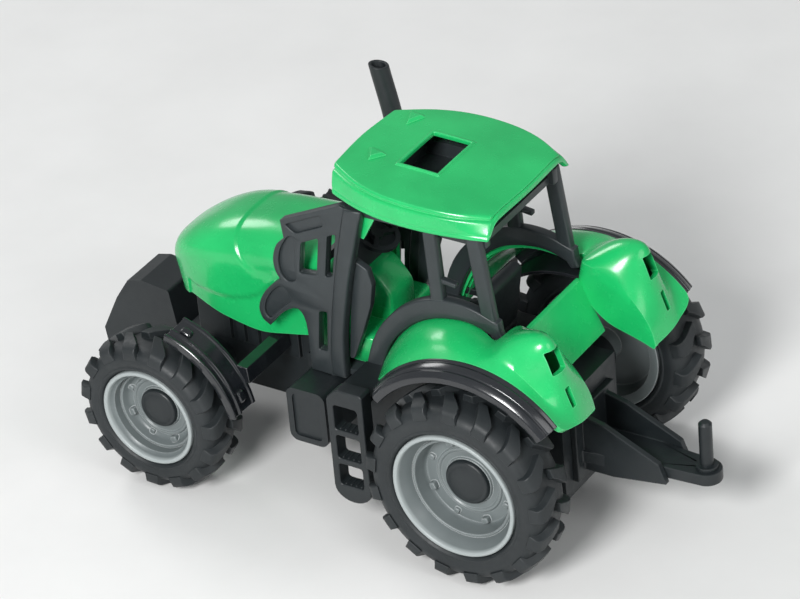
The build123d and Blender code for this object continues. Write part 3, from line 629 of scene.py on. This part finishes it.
def build_fenders():
    """Both fenders: creased skins with real thickness, lamp openings and slots."""
    bm = bmesh.new()
    crease_layer = bm.edges.layers.float.new("crease_edge")
    rows = fender_rows()
    verts = add_grid(bm, [[at(*point) for point in row] for row in rows], turn=True)
    inner, outer_crease = 1, 5
    for index, (row, after) in enumerate(zip(verts, verts[1:])):
        bm.edges.get((row[inner], after[inner]))[crease_layer] = 0.75
        if 8 <= index <= 13:
            bm.edges.get((row[outer_crease], after[outer_crease]))[crease_layer] = 0.6
    mirror_copy(bm)
    piece = add_detail("fender_skin", bm, "rear_fenders", outward=False, subdivisions=2)
    add_shell(piece).use_even_offset = True
    cutters = bmesh.new()
    for side in (1, -1):
        rear_face_solid(cutters, at(-18.2, side * 21.8, 55.8), 4.6, 5.8, 8.0, 12)
        rear_face_solid(cutters, at(-20.6, side * 21.8, 46.4), 1.7, 5.0, 7.0, 26)
    cut_away(piece, cutters)
    piece.data.set_sharp_from_angle(angle=radians(40))
    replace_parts(piece, "rear_fenders")


def build_fender_bar():
    """Dished bar between the fenders, behind the cab."""
    bm = bmesh.new()
    rings = []
    for y in (-14.6, -13.0, -9.0, 0.0, 9.0, 13.0, 14.6):
        dish = 0.7 * (1 - (y / 14.6) ** 2)
        profile = (
            (-2.8, 52.4), (-2.2, 51.6), (-4.9 + dish, 45.6), (-7.8, 39.4), (-8.8, 39.0),
            (-9.8, 39.6), (-6.6 + dish, 46.2), (-3.9, 52.2),
        )
        rings.append([at(x, y, z) for x, z in profile])
    add_loft(bm, rings)
    add_detail("fender_bar", bm, "rear_fenders", bevel=0.25, angle=30)


def build_fender_lips():
    """Glossy arch mouldings: a liner under the fender and an outer lip with two raised lines along it."""
    outside = (
        (30.55, 30.0), (30.55, 30.5), (30.2, 30.8), (30.15, 31.2), (30.35, 31.5), (29.9, 32.9),
        (29.55, 33.1), (29.5, 33.4), (29.6, 33.7), (28.9, 34.7), (28.2, 35.0), (27.0, 35.0),
    )
    inside = (
        (26.8, 34.4), (27.4, 33.6), (27.2, 31.0), (26.4, 29.4), (26.4, 16.0), (27.2, 16.0), (27.2, 29.6),
    )
    for side, sign in sides:
        bm = bmesh.new()
        spin_profile(bm, rear_centre, sign, outside + inside, start=37, end=139, steps=72)
        finish_piece(f"wheel_arch_lip_{side}", bm, f"fender_lip_{side}", bevel=0.12, angle=50)


# ---------- Bonnet ----------

bonnet_back_x = 45.0
nose_recess = 3.4
bonnet_nose_x = 97.8
nose_radius = 2.4
panel_step = 0.6
top_line = (
    (46, 62.6), (51.4, 62.6), (60, 62.3), (70, 61.6), (80, 59.4), (87, 56.3), (93, 52.4), (97, 48.6),
    (100, 45.0),
)
hem_line = (
    (46, 38.2), (51.4, 37.8), (60, 36.0), (68.5, 34.6), (78.4, 36.2), (87.1, 38.4), (94, 38.0), (102, 37.4),
)
rear_panel = (
    (40.0, 50.0), (63.0, 50.4), (66.0, 50.6), (68.3, 51.2), (70.0, 52.0), (71.2, 53.1), (72.6, 54.9),
    (73.9, 57.2), (75.0, 60.0), (75.6, 66.0), (40.0, 66.0),
)
lower_panel = (
    (40.0, 50.0), (63.0, 49.9), (64.8, 47.6), (67.1, 45.7), (69.8, 44.0), (72.9, 42.8), (76.4, 42.2),
    (80.3, 42.0), (86.7, 42.2), (89.5, 42.8), (91.5, 30.0), (40.0, 30.0),
)


def line_height(line, x):
    """Height of a smooth line of (x, z) keys at one x."""
    for index, (start, end) in enumerate(zip(line, line[1:])):
        if x <= end[0]:
            break
    before = line[max(index - 1, 0)]
    after = line[min(index + 2, len(line) - 1)]
    span = end[0] - start[0]
    t = (x - start[0]) / span
    slope_in = (end[1] - before[1]) / (end[0] - before[0]) * span
    slope_out = (after[1] - start[1]) / (after[0] - start[0]) * span
    drop = end[1] - start[1]
    return start[1] + t * slope_in + t * t * (3 * drop - 2 * slope_in - slope_out) + t ** 3 * (
        slope_in + slope_out - 2 * drop
    )


def bonnet_half_width(x):
    """Half width in plan: straight, then drawn in to a rounded nose."""
    ahead = max(0.0, x - 76.0) / 21.8
    return 14.0 - 7.0 * ahead ** 2.4


def panel_depth(x, z, outline, depth, soft):
    """How far a point lies below the surface, inside a recessed panel with soft edges."""
    inside, nearest = False, 1e9
    for (xa, za), (xb, zb) in zip(outline, outline[1:] + outline[:1]):
        if (za > z) != (zb > z) and x < (xb - xa) * (z - za) / (zb - za) + xa:
            inside = not inside
        length = (xb - xa) ** 2 + (zb - za) ** 2
        share = min(1.0, max(0.0, ((x - xa) * (xb - xa) + (z - za) * (zb - za)) / length))
        away_x, away_z = x - xa - share * (xb - xa), z - za - share * (zb - za)
        nearest = min(nearest, (away_x ** 2 + away_z ** 2) ** 0.5)
    signed = nearest if inside else -nearest
    return depth * min(1.0, max(0.0, 0.5 + signed / soft))


def bonnet_half_section(x, steps=46):
    """Half section at one x, from the hem up the side and over to the middle, with its creases."""
    half = bonnet_half_width(x)
    top, hem = line_height(top_line, x), line_height(hem_line, x)
    shoulder = hem + 0.58 * (top - hem)
    points = []
    for step in range(steps + 1):
        share = step / steps
        if share < 0.4:
            y, z = half, hem + (shoulder - hem) * share / 0.4
        else:
            turn = (share - 0.4) / 0.6 * pi / 2
            y = half * cos(turn) ** 0.76
            z = shoulder + (top - shoulder) * sin(turn) ** 0.76
        inward = max(panel_depth(x, z, outline, panel_step, 0.6) for outline in (rear_panel, lower_panel))
        lift = max(0.0, (share - 0.4) / 0.6)
        points.append(Vector((x, y - inward * (1 - lift), z - inward * lift)))
    return points


def nose_section(depth):
    """Section on the rounded corner of the nose, from 0 at its start to 1 on the flat face."""
    x = bonnet_nose_x - nose_radius * (1 - sin(depth * pi / 2))
    inset = nose_radius * 0.8 * (1 - cos(depth * pi / 2))
    section = bonnet_half_section(x)
    return [
        Vector((x, max(0.0, point.y - inset), point.z - inset * step / len(section)))
        for step, point in enumerate(section)
    ]


def build_bonnet():
    """Bonnet skin with recessed panels and a louvred nose, and the console's foot and column behind it."""
    bm = bmesh.new()
    start_rounding = bonnet_nose_x - nose_radius
    stations = [bonnet_back_x + (start_rounding - bonnet_back_x) * step / 140 for step in range(141)]
    halves = [bonnet_half_section(x) for x in stations]
    halves += [nose_section(step / 5) for step in range(1, 6)]
    for half in halves:
        for point in half:
            near_nose = max(0.0, (point.x - 84) / (bonnet_nose_x - 84))
            below = max(0.0, (50 - point.z) / 12)
            point.x -= nose_recess * near_nose * near_nose * below
    rows = [half + [Vector((x, -y, z)) for x, y, z in reversed(half[:-1])] for half in halves]
    columns = 24
    nose = []
    for x, y, z in halves[-1]:
        strip = []
        for column in range(columns + 1):
            across = y * (1 - 2 * column / columns)
            louvre = 0.0
            if abs(across) < 7.4 and 38.6 < z < 42.6:
                louvre = 0.35 + 0.25 * cos(2 * pi * (z - 38.6) / 1.3)
            strip.append(at(x - louvre, across, z))
        nose.append(strip)
    add_grid(bm, [[at(*point) for point in row] for row in rows], turn=True)
    add_grid(bm, nose)
    bmesh.ops.remove_doubles(bm, verts=bm.verts, dist=0.002 * MM)
    bmesh.ops.recalc_face_normals(bm, faces=bm.faces)
    skin = bpy.data.meshes.new("skin")
    bm.to_mesh(skin)
    bm.free()
    holder = add_object("skin", skin)
    add_shell(holder)
    solid = baked_mesh(holder)
    bpy.data.objects.remove(holder)
    bm = bmesh.new()
    bm.from_mesh(solid)
    for mesh in (skin, solid):
        bpy.data.meshes.remove(mesh)
    for outline, half, centre in (
        (((35.9, 33.3), (52.6, 33.3), (52.6, 41.0), (36.8, 41.0), (35.9, 40.2)), 13.0, (44, 37)),
        (((35.9, 40.0), (52.6, 40.0), (52.6, 54.2), (42.2, 54.0), (40.2, 53.4), (35.7, 47.8)), 5.0, (43, 46)),
    ):
        rings = []
        for share, size in ((-1, 0.88), (-0.96, 0.96), (-0.88, 1), (0.88, 1), (0.96, 0.96), (1, 0.88)):
            ring = []
            for x, z in rounded(outline, 1.6):
                ring.append(
                    at(centre[0] + (x - centre[0]) * size, half * share, centre[1] + (z - centre[1]) * size)
                )
            rings.append(ring)
        add_loft(bm, rings)
    finish_piece("bonnet_skin", bm, "bonnet", outward=False)


# ---------- Cab frame ----------

frame_outer_y = 18.2
frame_inner_y = 15.8
floor_half_width = 16.2

first_lobe = ((55.3, 66.4), (57.6, 64.2), (58.9, 60.6), (58.8, 57.2), (57.6, 54.7))
second_lobe = ((57.6, 54.7), (60.4, 52.3), (63.1, 48.9), (64.5, 45.2), (63.8, 42.2), (61.8, 40.8))
leg_arch = ((61.8, 40.8), (59.2, 44.0), (56.1, 46.7), (53.2, 47.6), (51.6, 45.0), (51.2, 40.6))
pillar_back = ((41.6, 31.5), (41.4, 37.5), (40.7, 45.0), (38.2, 58.6), (35.5, 69.2), (32.9, 79.2))
pillar_front = ((45.4, 31.5), (45.2, 37.5), (44.4, 45.0), (42.1, 58.6), (39.9, 69.2), (37.6, 79.0))
band_outside = (
    (-1.6, 58.6), (6.0, 61.0), (14.0, 60.9), (21.0, 58.3), (27.6, 53.0), (32.8, 45.2), (36.6, 33.0),
)
band_inside = (
    (32.6, 33.0), (28.9, 43.2), (24.4, 49.6), (18.2, 54.3), (11.4, 56.4), (5.0, 56.6), (-2.2, 53.9),
)


def flat_line(keys, count):
    """Smooth (x, z) points through flat key points."""
    return [tuple(point) for point in smooth_line(keys, count)]


def cowl_outline():
    """Cowl panel from the roof down its scalloped front edge to the leg, and back up the front pillar."""
    top = [(39.0, 79.4), (55.8, 71.3)]
    edge = flat_line(first_lobe, 12) + flat_line(second_lobe, 15)[1:] + flat_line(leg_arch, 12)[1:]
    return top + edge + [(51.2, 31.5), (44.0, 31.5)] + flat_line(pillar_front, 14)


def slot_outline(corners, radius):
    """The closed (x, z) outline with rounded corners."""
    return [tuple(point) for point in rounded(corners, radius)]


cowl_slots = (
    ((50.6, 66.4), (45.6, 69.0), (47.0, 58.6), (51.9, 57.8)),
    ((43.0, 70.2), (40.6, 71.3), (42.6, 59.4), (44.7, 58.6)),
    ((47.4, 48.6), (45.2, 49.0), (46.2, 37.8), (48.6, 37.6)),
)
lobe_hollows = (
    (
        (54.2, 67.4), (56.6, 63.6), (57.6, 60.2), (57.4, 56.6), (55.6, 54.4), (52.8, 55.4), (53.0, 61.0),
        (52.0, 67.6),
    ),
    (
        (57.0, 53.4), (60.2, 51.0), (62.4, 47.6), (63.2, 44.6), (61.9, 42.4), (59.6, 45.0), (56.6, 48.0),
        (54.6, 49.6),
    ),
)
panel_recess = ((54.6, 70.4), (44.4, 75.4), (43.8, 72.6), (52.0, 68.6))


def add_cab_side(bm):
    """Left side of the frame: recessed cowl with a raised border, pillars, jamb, rail and fender band."""
    slots = [slot_outline(corners, 0.7) for corners in cowl_slots]
    hollows = [slot_outline(corners, 1.6) for corners in lobe_hollows]
    recess = slot_outline(panel_recess, 0.8)
    add_plate(bm, [cowl_outline(), *slots], frame_inner_y, frame_outer_y - 0.8, 0.15)
    add_plate(bm, [cowl_outline(), *slots, *hollows, recess], frame_outer_y - 0.95, frame_outer_y, 0.2)
    pillar = flat_line(pillar_back, 16) + flat_line(pillar_front, 16)[::-1]
    add_plate(bm, [pillar], frame_inner_y - 0.12, frame_outer_y + 0.35, 0.6)
    band = flat_line(band_outside, 26) + flat_line(band_inside, 26)
    add_plate(bm, [band], frame_inner_y - 0.06, frame_outer_y + 0.2, 0.45)
    rail = ((1.2, 76.4), (37.2, 76.4), (37.6, 80.6), (1.2, 80.6))
    add_plate(bm, [slot_outline(rail, 0.5)], frame_inner_y - 1.8, frame_inner_y + 0.2, 0.3)
    jamb = ((41.6, 36.0), (40.4, 36.0), (37.2, 44.0), (34.4, 52.0), (33.4, 58.0), (34.4, 62.0), (38.4, 64.0))
    add_plate(bm, [slot_outline(jamb, 0.5)], frame_inner_y - 1.8, frame_inner_y + 0.1, 0.2)
    centre_pillar = ((13.5, 80.2), (16.9, 80.2), (15.9, 56.6), (12.4, 56.6))
    rear_pillar = ((1.9, 80.0), (5.5, 80.0), (2.5, 57.4), (-0.6, 53.2), (-2.9, 54.0), (-1.0, 58.2))
    inner_trim = ((9.2, 66.0), (13.9, 66.6), (13.9, 65.4), (9.2, 64.9))
    for outline in (centre_pillar, rear_pillar):
        add_plate(bm, [slot_outline(outline, 0.6)], frame_inner_y + 0.1, frame_outer_y + 0.05, 0.5)
    add_plate(bm, [slot_outline(inner_trim, 0.3)], frame_inner_y + 0.4, frame_outer_y - 0.4, 0.2)


def build_cab_frame():
    """Dark open frame: both sides, and the floor, sill, roof deck and instrument hood between them."""
    bm = bmesh.new()
    add_cab_side(bm)
    mirror_copy(bm)
    floor = (
        (-2.0, 36.2), (34.2, 36.2), (34.2, 31.5), (51.0, 31.5), (51.0, 33.0), (35.6, 33.0), (35.6, 37.4),
        (-2.0, 37.4),
    )
    sill = ((45.0, 61.4), (46.6, 61.4), (46.6, 63.2), (45.0, 63.6))
    for outline in (floor, sill):
        add_plate(bm, [outline], -floor_half_width, floor_half_width, 0.2)
    add_block(bm, (2.6, -15.0, 76.6), (35.4, 15.0, 78.4))
    hood = ((42.4, 53.5), (46.4, 53.5), (46.4, 65.4), (45.0, 66.2), (43.4, 60.6))
    add_plate(bm, [slot_outline(hood, 0.8)], -9.0, 9.0, 0.4)
    for x_low, x_high, y_low, y_high in (
        (4.6, 6.1, -13.5, 13.5),
        (33.9, 35.4, -13.5, 13.5),
        (4.6, 35.4, 12.1, 13.5),
        (4.6, 35.4, -13.5, -12.1),
    ):
        add_block(bm, (x_low, y_low, 77.8), (x_high, y_high, 81.9))
    finish_piece("cab_shell", bm, "cab_frame")


# ---------- Wheels ----------

crown_drop = 1.7  # of the tyre's carcass below the tips of its bars
wheel_specs = {
    "rear": dict(centre=rear_centre, radius=24.4, width=13.8, rim=16.0, lugs=17, cap=5.7, deep=7.0),
    "front": dict(centre=front_centre, radius=20.2, width=13.0, rim=12.6, lugs=15, cap=5.0, deep=5.4),
}


def wheel_middle(axle, side):
    """Distance of a tyre's middle plane from the tractor's middle plane, in millimetres."""
    low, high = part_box(f"{axle}_tyre_{side}")
    return abs(low.y + high.y) / 2 / MM


def add_lug(bm, centre, sign, middle, spec, phase, inner_sign):
    """One slanted tread bar, widening to a block that hangs over the shoulder."""
    radius, half = spec["radius"], spec["width"] / 2
    stations = (
        (0.2, -1.7, 1.1, 0.0),
        (0.22 * half, -1.1, 2.1, 0.02),
        (0.45 * half, -0.3, 3.7, 0.15),
        (0.66 * half, 0.4, 5.0, 0.4),
        (0.84 * half, 0.8, 5.2, 0.75),
        (0.95 * half, 1.0, 5.2, 1.3),
        (1.0 * half, 1.1, 5.1, 2.3),
    )
    draft = 0.28
    rings = []
    for y, start, end, drop in stations:
        base = radius - crown_drop - 1.6 * (y / half) ** 2 - 0.7
        tip = max(radius - drop, base + 0.6)
        corners = ((base, start - draft), (tip, start + draft), (tip, end - draft), (base, end + draft))
        ring = []
        for r, along in corners:
            angle = phase + along / radius
            place = middle + inner_sign * y
            ring.append(centre + Vector((r * cos(angle), sign * place, r * sin(angle))) * MM)
        rings.append(ring)
    add_loft(bm, rings)


def build_tyre(axle, side, sign):
    """Soft tyre: rounded carcass with fine sidewall rings, and two rows of slanted bars."""
    spec = wheel_specs[axle]
    radius, half, rim_r = spec["radius"], spec["width"] / 2, spec["rim"]
    middle = wheel_middle(axle, side)
    crown = radius - crown_drop
    side_height = crown - rim_r
    outer = [
        (rim_r - 1.3, half - 1.6),
        (rim_r + 0.05, half - 1.5),
        (rim_r + 0.35, half - 0.75),
        (rim_r + 0.75, half - 0.45),
        (rim_r + 0.95, half - 0.2),
        (rim_r + 1.25, half - 0.2),
        (rim_r + 1.45, half - 0.42),
        (rim_r + 0.42 * side_height, half - 0.1),
        (rim_r + 0.55 * side_height, half - 0.12),
        (rim_r + 0.70 * side_height, half - 0.45),
        (crown - 1.0, half - 1.1),
        (crown - 0.5, half - 2.2),
        (crown - 0.1, 0.45 * half),
        (crown, 0.0),
    ]
    profile = [(r, middle + y) for r, y in outer] + [(r, middle - y) for r, y in reversed(outer[:-1])]
    bm = bmesh.new()
    spin_profile(bm, spec["centre"], sign, profile, steps=96)
    pitch = 2 * pi / spec["lugs"]
    for lug in range(spec["lugs"]):
        add_lug(bm, spec["centre"], sign, middle, spec, lug * pitch, 1)
        add_lug(bm, spec["centre"], sign, middle, spec, (lug + 0.5) * pitch, -1)
    finish_piece(f"{axle}_tread_tyre_{side}", bm, f"{axle}_tyre_{side}", bevel=0.28, angle=38)


def build_rim(axle, side, sign):
    """Dished rim: rolled lip with a painted highlight, stepped rings down the dish, and small lugs round the
    disc.
    """
    spec = wheel_specs[axle]
    middle = wheel_middle(axle, side)
    rim_r, cap_r = spec["rim"], spec["cap"]
    lip = spec["width"] / 2 - 0.3
    disc = lip - spec["deep"] - 1.1
    wall = rim_r - 1.9
    step_r = rim_r * 0.79
    outer = [
        (rim_r, lip - 1.4), (rim_r, lip - 0.3), (rim_r - 0.2, lip - 0.05), (rim_r - 0.5, lip + 0.05),
        (rim_r - 0.9, lip - 0.05), (rim_r - 1.15, lip - 0.35), (rim_r - 1.3, lip - 1.2),
        (wall - 0.2, lip - 1.9), (step_r + 0.5, lip - 4.1), (step_r + 0.25, lip - 3.75),
        (step_r - 0.2, lip - 3.75), (step_r - 0.45, lip - 4.1), (step_r - 0.7, disc + 1.2),
        (step_r - 1.3, disc + 0.5), (cap_r + 3.0, disc + 0.35), (cap_r + 2.7, disc + 0.75),
        (cap_r + 2.2, disc + 0.75), (cap_r + 1.9, disc + 0.4), (cap_r + 0.4, disc + 0.3),
        (cap_r + 0.2, disc + 0.9), (1.5, disc + 0.9),
    ]
    inner = [
        (1.5, -lip), (3.7, -lip), (4.1, disc - 1.6), (rim_r - 3.6, disc - 0.6), (rim_r - 2.7, disc - 2.0),
        (rim_r - 2.6, 0.6 - lip), (rim_r - 1.2, -lip), (rim_r, -lip), (rim_r, 1.4 - lip),
        (rim_r - 1.4, 1.8 - lip), (rim_r - 1.4, lip - 1.8),
    ]
    bm = bmesh.new()
    spin_profile(bm, spec["centre"], sign, [(r, middle + y) for r, y in outer + inner], steps=96)
    ring_r = (step_r + cap_r + 2.2) / 2
    for index in range(8):
        angle = pi / 8 + index * pi / 4
        tall = 1.9 if index % 2 else 1.2
        width = 1.0 if index % 2 else 0.75
        radial = Vector((cos(angle), 0, sin(angle)))
        tangent = Vector((-sin(angle), 0, cos(angle)))
        rings = []
        for depth, shrink in ((disc - 0.2, 1.0), (disc + tall - 0.2, 0.92), (disc + tall, 0.7)):
            corners = rounded(((-0.8, -width), (0.8, -width), (0.8, width), (-0.8, width)), 0.5, 3)
            hub = spec["centre"] + (radial * ring_r + Vector((0, sign * (middle + depth), 0))) * MM
            rings.append([hub + (radial * a + tangent * b) * shrink * MM for a, b in corners])
        add_loft(bm, rings)
    # Marks the outer lip for its painted highlight.
    lit = bm.verts.layers.float.new("lip")
    for vert in bm.verts:
        from_axle = vert.co - spec["centre"]
        out = from_axle.y * sign / MM - middle
        radius = (from_axle.x ** 2 + from_axle.z ** 2) ** 0.5 / MM
        vert[lit] = 1.0 if radius > rim_r - 1.2 and out > lip - 0.4 else 0.0
    finish_piece(f"{axle}_dished_rim_{side}", bm, f"{axle}_rim_{side}", bevel=0.1, angle=40)


def build_cap(axle, side, sign):
    """Domed hub cap with a narrow turned edge."""
    spec = wheel_specs[axle]
    middle = wheel_middle(axle, side)
    cap_r = spec["cap"]
    base = spec["width"] / 2 - 0.3 - spec["deep"] - 0.4
    profile = [
        (0.001, base + 1.9), (cap_r * 0.35, base + 1.85), (cap_r * 0.62, base + 1.7),
        (cap_r * 0.78, base + 1.45), (cap_r * 0.84, base + 1.3), (cap_r * 0.88, base + 1.32),
        (cap_r * 0.95, base + 1.2), (cap_r, base + 0.75), (cap_r, base - 0.6), (0.001, base - 0.6),
    ]
    bm = bmesh.new()
    spin_profile(bm, spec["centre"], sign, [(r, middle + y) for r, y in profile], steps=64)
    finish_piece(f"{axle}_domed_cap_{side}", bm, f"{axle}_hub_cap_{side}")


# ---------- Mudguards, exhaust and smaller outside pieces ----------

def build_mudguard(side, sign):
    """Strip over the front tyre with a rolled outer edge, a rib, two bosses and its carrying arm."""
    profile = (
        (22.9, 27.0), (23.7, 27.0), (24.1, 27.3), (24.1, 28.0), (23.7, 28.4), (23.6, 32.4), (24.1, 32.7),
        (24.1, 33.3), (23.6, 33.6), (23.6, 34.9), (24.2, 35.2), (24.3, 35.6), (24.0, 35.95), (22.4, 35.95),
        (21.9, 35.7), (22.0, 35.2), (22.8, 34.9),
    )
    bm = bmesh.new()
    spin_profile(bm, front_centre, sign, profile, start=104, end=169, steps=32)
    arm = ((62.4, 30.0), (65.4, 30.0), (65.8, 34.2), (62.8, 34.2))
    add_plate(bm, [arm], *sorted((sign * 9.8, sign * 28)), 0.3)
    for angle in (112, 160):
        turn = radians(angle)
        radial = Vector((cos(turn), 0, sin(turn)))
        along = Vector((-sin(turn), 0, cos(turn)))
        rings = []
        for height, shrink in ((23.4, 1.0), (24.2, 1.0), (24.6, 0.7)):
            hub = front_centre + (radial * height + Vector((0, sign * 31.2, 0))) * MM
            outline = rounded(((-1.5, -1.1), (1.5, -1.1), (1.5, 1.1), (-1.5, 1.1)), 0.7, 3)
            rings.append([hub + (along * a + Vector((0, b, 0))) * shrink * MM for a, b in outline])
        add_loft(bm, rings)
    finish_piece(f"ribbed_mudguard_{side}", bm, f"front_mudguard_{side}", bevel=0.12, angle=40)


def build_exhaust():
    """Exhaust pipe leaning forward, with a collar, a cut-off open top and the clip that holds it."""
    keys = ((49.0, -20.8, 44.2), (49.1, -21.4, 58.0), (49.8, -23.4, 74.0), (54.2, -25.0, 90.2))
    line = smooth_line(keys, 24)
    radius, bore, wall_depth = 2.35, 1.6, 6.0
    steps = 28
    rings = []

    def ring_at(place, direction, size, tilt=0.0):
        side = direction.cross(Vector((1, 0, 0))).normalized()
        ahead = side.cross(direction).normalized()
        points = []
        for step in range(steps):
            turn = 2 * pi * step / steps
            offset = side * cos(turn) + ahead * sin(turn)
            points.append(at(*(place + offset * size + direction * tilt * sin(turn))))
        return points

    for index, place in enumerate(line):
        before, after = line[max(index - 1, 0)], line[min(index + 1, len(line) - 1)]
        direction = (after - before).normalized()
        swell = 0.35 if index in (3, 4, 5) else 0.0
        tilt = 0.9 if index == len(line) - 1 else 0.0
        rings.append(ring_at(place, direction, radius + swell, tilt))
    top, direction = line[-1], (line[-1] - line[-2]).normalized()
    rings.append(ring_at(top, direction, bore, 0.7))
    rings.append(ring_at(top - direction * wall_depth, direction, bore))
    bm = bmesh.new()
    add_loft(bm, rings)
    add_block(bm, (47.5, -20.6, 48.0), (50.5, -frame_outer_y, 51.0))
    finish_piece("leaning_exhaust", bm, "exhaust_stack", bevel=0.18, angle=35)


def build_seat():
    """Bucket seat: padded cushion with side rolls, a raked back and the box it stands on."""
    bm = bmesh.new()
    add_block(bm, (9.6, -5.0, 37.4), (20.4, 5.0, 41.2))
    cushion = ((9.0, 40.6), (20.6, 40.6), (22.0, 41.6), (22.2, 43.0), (21.2, 44.2), (13.0, 43.6), (9.4, 43.2))
    back = ((9.0, 42.4), (12.9, 42.8), (10.4, 57.0), (9.4, 58.6), (7.6, 58.8), (6.4, 57.6))
    for outline, half, roll in ((cushion, 7.0, 0.8), (back, 6.6, 0.7)):
        add_plate(bm, [slot_outline(outline, 1.2)], -half, half, roll)
    for sign in (-1, 1):
        for outline in (
            ((10.0, 42.6), (21.4, 42.6), (21.6, 44.4), (20.6, 45.2), (11.0, 44.8)),
            ((9.6, 43.0), (13.4, 43.4), (11.4, 55.0), (10.0, 55.4), (7.8, 54.8)),
        ):
            add_plate(bm, [slot_outline(outline, 0.7)], sign * 6.2 - 0.8, sign * 6.2 + 0.8, 0.45)
    finish_piece("bucket_seat", bm, "seat", bevel=0.15, angle=40)


def build_steps(side, sign):
    """Ladder with two rails, ribbed treads and a rounded foot, on a shelf that reaches to the cab's side."""
    inner, outer = sorted((sign * 31.0, sign * 35.0))
    foot = [(31 + 5 * cos(radians(turn)), 14 + 4 * sin(radians(turn))) for turn in range(180, 361, 15)]
    outline = [(26.6, 41.0), (26.0, 40.4), *foot, (36.0, 37.6), (35.6, 38.6), (33.6, 40.6), (32.6, 41.0)]
    holes = ((14.5, 20.3), (21.9, 28.3), (29.9, 36.6))
    openings = []
    for low, high in holes:
        openings.append(slot_outline(((27.8, low), (34.2, low), (34.2, high), (27.8, high)), 0.8))
    bm = bmesh.new()
    add_plate(bm, [outline, *openings], inner, outer, 0.3)
    for low, high in holes:
        for x in (28.9, 30.3, 31.7, 33.1):
            add_block(bm, (x - 0.25, inner + 0.6, low - 0.3), (x + 0.25, outer - 0.6, low + 0.25))
    shelf_low, shelf_high = sorted((sign * 18.2, sign * 31.2))
    add_block(bm, (26.6, shelf_low, 36.7), (35.4, shelf_high, 38.3))
    finish_piece(f"ladder_{side}", bm, f"steps_{side}", bevel=0.15, angle=40)


def soften_cad_nodes():
    """Gives the carried-over CAD pieces that show outside their small mould radii."""
    for name, size in (
        ("chassis", 0.25), ("engine_block", 0.2), ("front_weight", 0.35), ("hitch_bracket", 0.25),
        ("hitch_pin", 0.15), ("side_tank_left", 0.25), ("side_tank_right", 0.25), ("steering_column", 0.15),
    ):
        weld = nodes[name].modifiers.new("joined_faces", "WELD")
        weld.merge_threshold = 0.002 * MM
        add_modifiers(nodes[name], bevel=size, angle=30)


# ---------- The pieces ----------

build_roof()
build_roof_marks()
build_fenders()
build_fender_bar()
build_fender_lips()
build_bonnet()
build_cab_frame()
build_exhaust()
build_seat()
for side, sign in sides:
    build_mudguard(side, sign)
    build_steps(side, sign)
soften_cad_nodes()
for axle in wheel_specs:
    for side, sign in sides:
        build_tyre(axle, side, sign)
        build_rim(axle, side, sign)
        build_cap(axle, side, sign)


# ---------- Floor, light and camera ----------

def floor_material():
    """Matt pale paper with a faint mottle."""
    material, tree, shader = new_material("floor_paper")
    tree.links.new(
        blend_colors(tree, spread(tree, noise(tree, 30), 0, 1), (0.80, 0.80, 0.79), (0.84, 0.84, 0.83)),
        shader.inputs["Base Color"],
    )
    shader.inputs["Roughness"].default_value = 0.75
    return material


def build_stage():
    """Flat pale floor, wide enough to fill the camera's view."""
    mesh = bpy.data.meshes.new("stage_floor")
    size = 4.0
    corners = [(-size, -size, 0), (size, -size, 0), (size, size, 0), (-size, size, 0)]
    mesh.from_pydata(corners, [], [(0, 1, 2, 3)])
    floor = add_object("stage_floor", mesh)
    mesh.materials.append(floor_material())


def add_light(name, position, target, size, power):
    """Round soft light of the given size, aimed at a point."""
    lamp = bpy.data.lights.new(name, "AREA")
    lamp.shape = "DISK"
    lamp.size = size
    lamp.energy = power
    light = add_object(name, lamp)
    light.location = position
    light.rotation_euler = (Vector(target) - Vector(position)).to_track_quat("-Z", "Y").to_euler()


def build_lights():
    """Soft sky, a key light from the left, a weak fill from behind and a rim light from the far side."""
    world = bpy.data.worlds.new("studio")
    world.use_nodes = True
    world.node_tree.nodes["Background"].inputs["Color"].default_value = (0.95, 0.98, 1.0, 1.0)
    world.node_tree.nodes["Background"].inputs["Strength"].default_value = 0.34
    scene = bpy.context.scene
    scene.world = world
    scene.view_settings.view_transform = "Standard"
    scene.view_settings.look = "None"
    middle = (0, 0, 0.04)
    add_light("key", (-0.15, 0.88, 0.66), middle, 0.36, 11.0)
    add_light("fill", (-0.85, 0.15, 0.55), middle, 0.6, 2.2)
    add_light("rim", (0.85, -0.35, 0.75), middle, 0.4, 3.0)


def build_camera():
    """Camera behind and left of the tractor, looking down, with the slight roll of a hand-held view."""
    azimuth, elevation, roll = radians(214.84), radians(32.63), radians(5.43)
    distance = 1.0053
    target = Vector((0, 0, 44 * MM))
    back = Vector((sin(azimuth) * cos(elevation), -cos(azimuth) * cos(elevation), sin(elevation)))
    data = bpy.data.cameras.new("camera")
    data.lens = 193.6
    data.sensor_width = 36.0
    data.clip_start = 0.01
    camera = add_object("camera", data)
    camera.location = target + back * distance
    look = (-back).to_track_quat("-Z", "Y")
    camera.rotation_mode = "QUATERNION"
    camera.rotation_quaternion = look @ Quaternion((0, 0, 1), -roll)
    bpy.context.scene.camera = camera


build_stage()
build_lights()
build_camera()
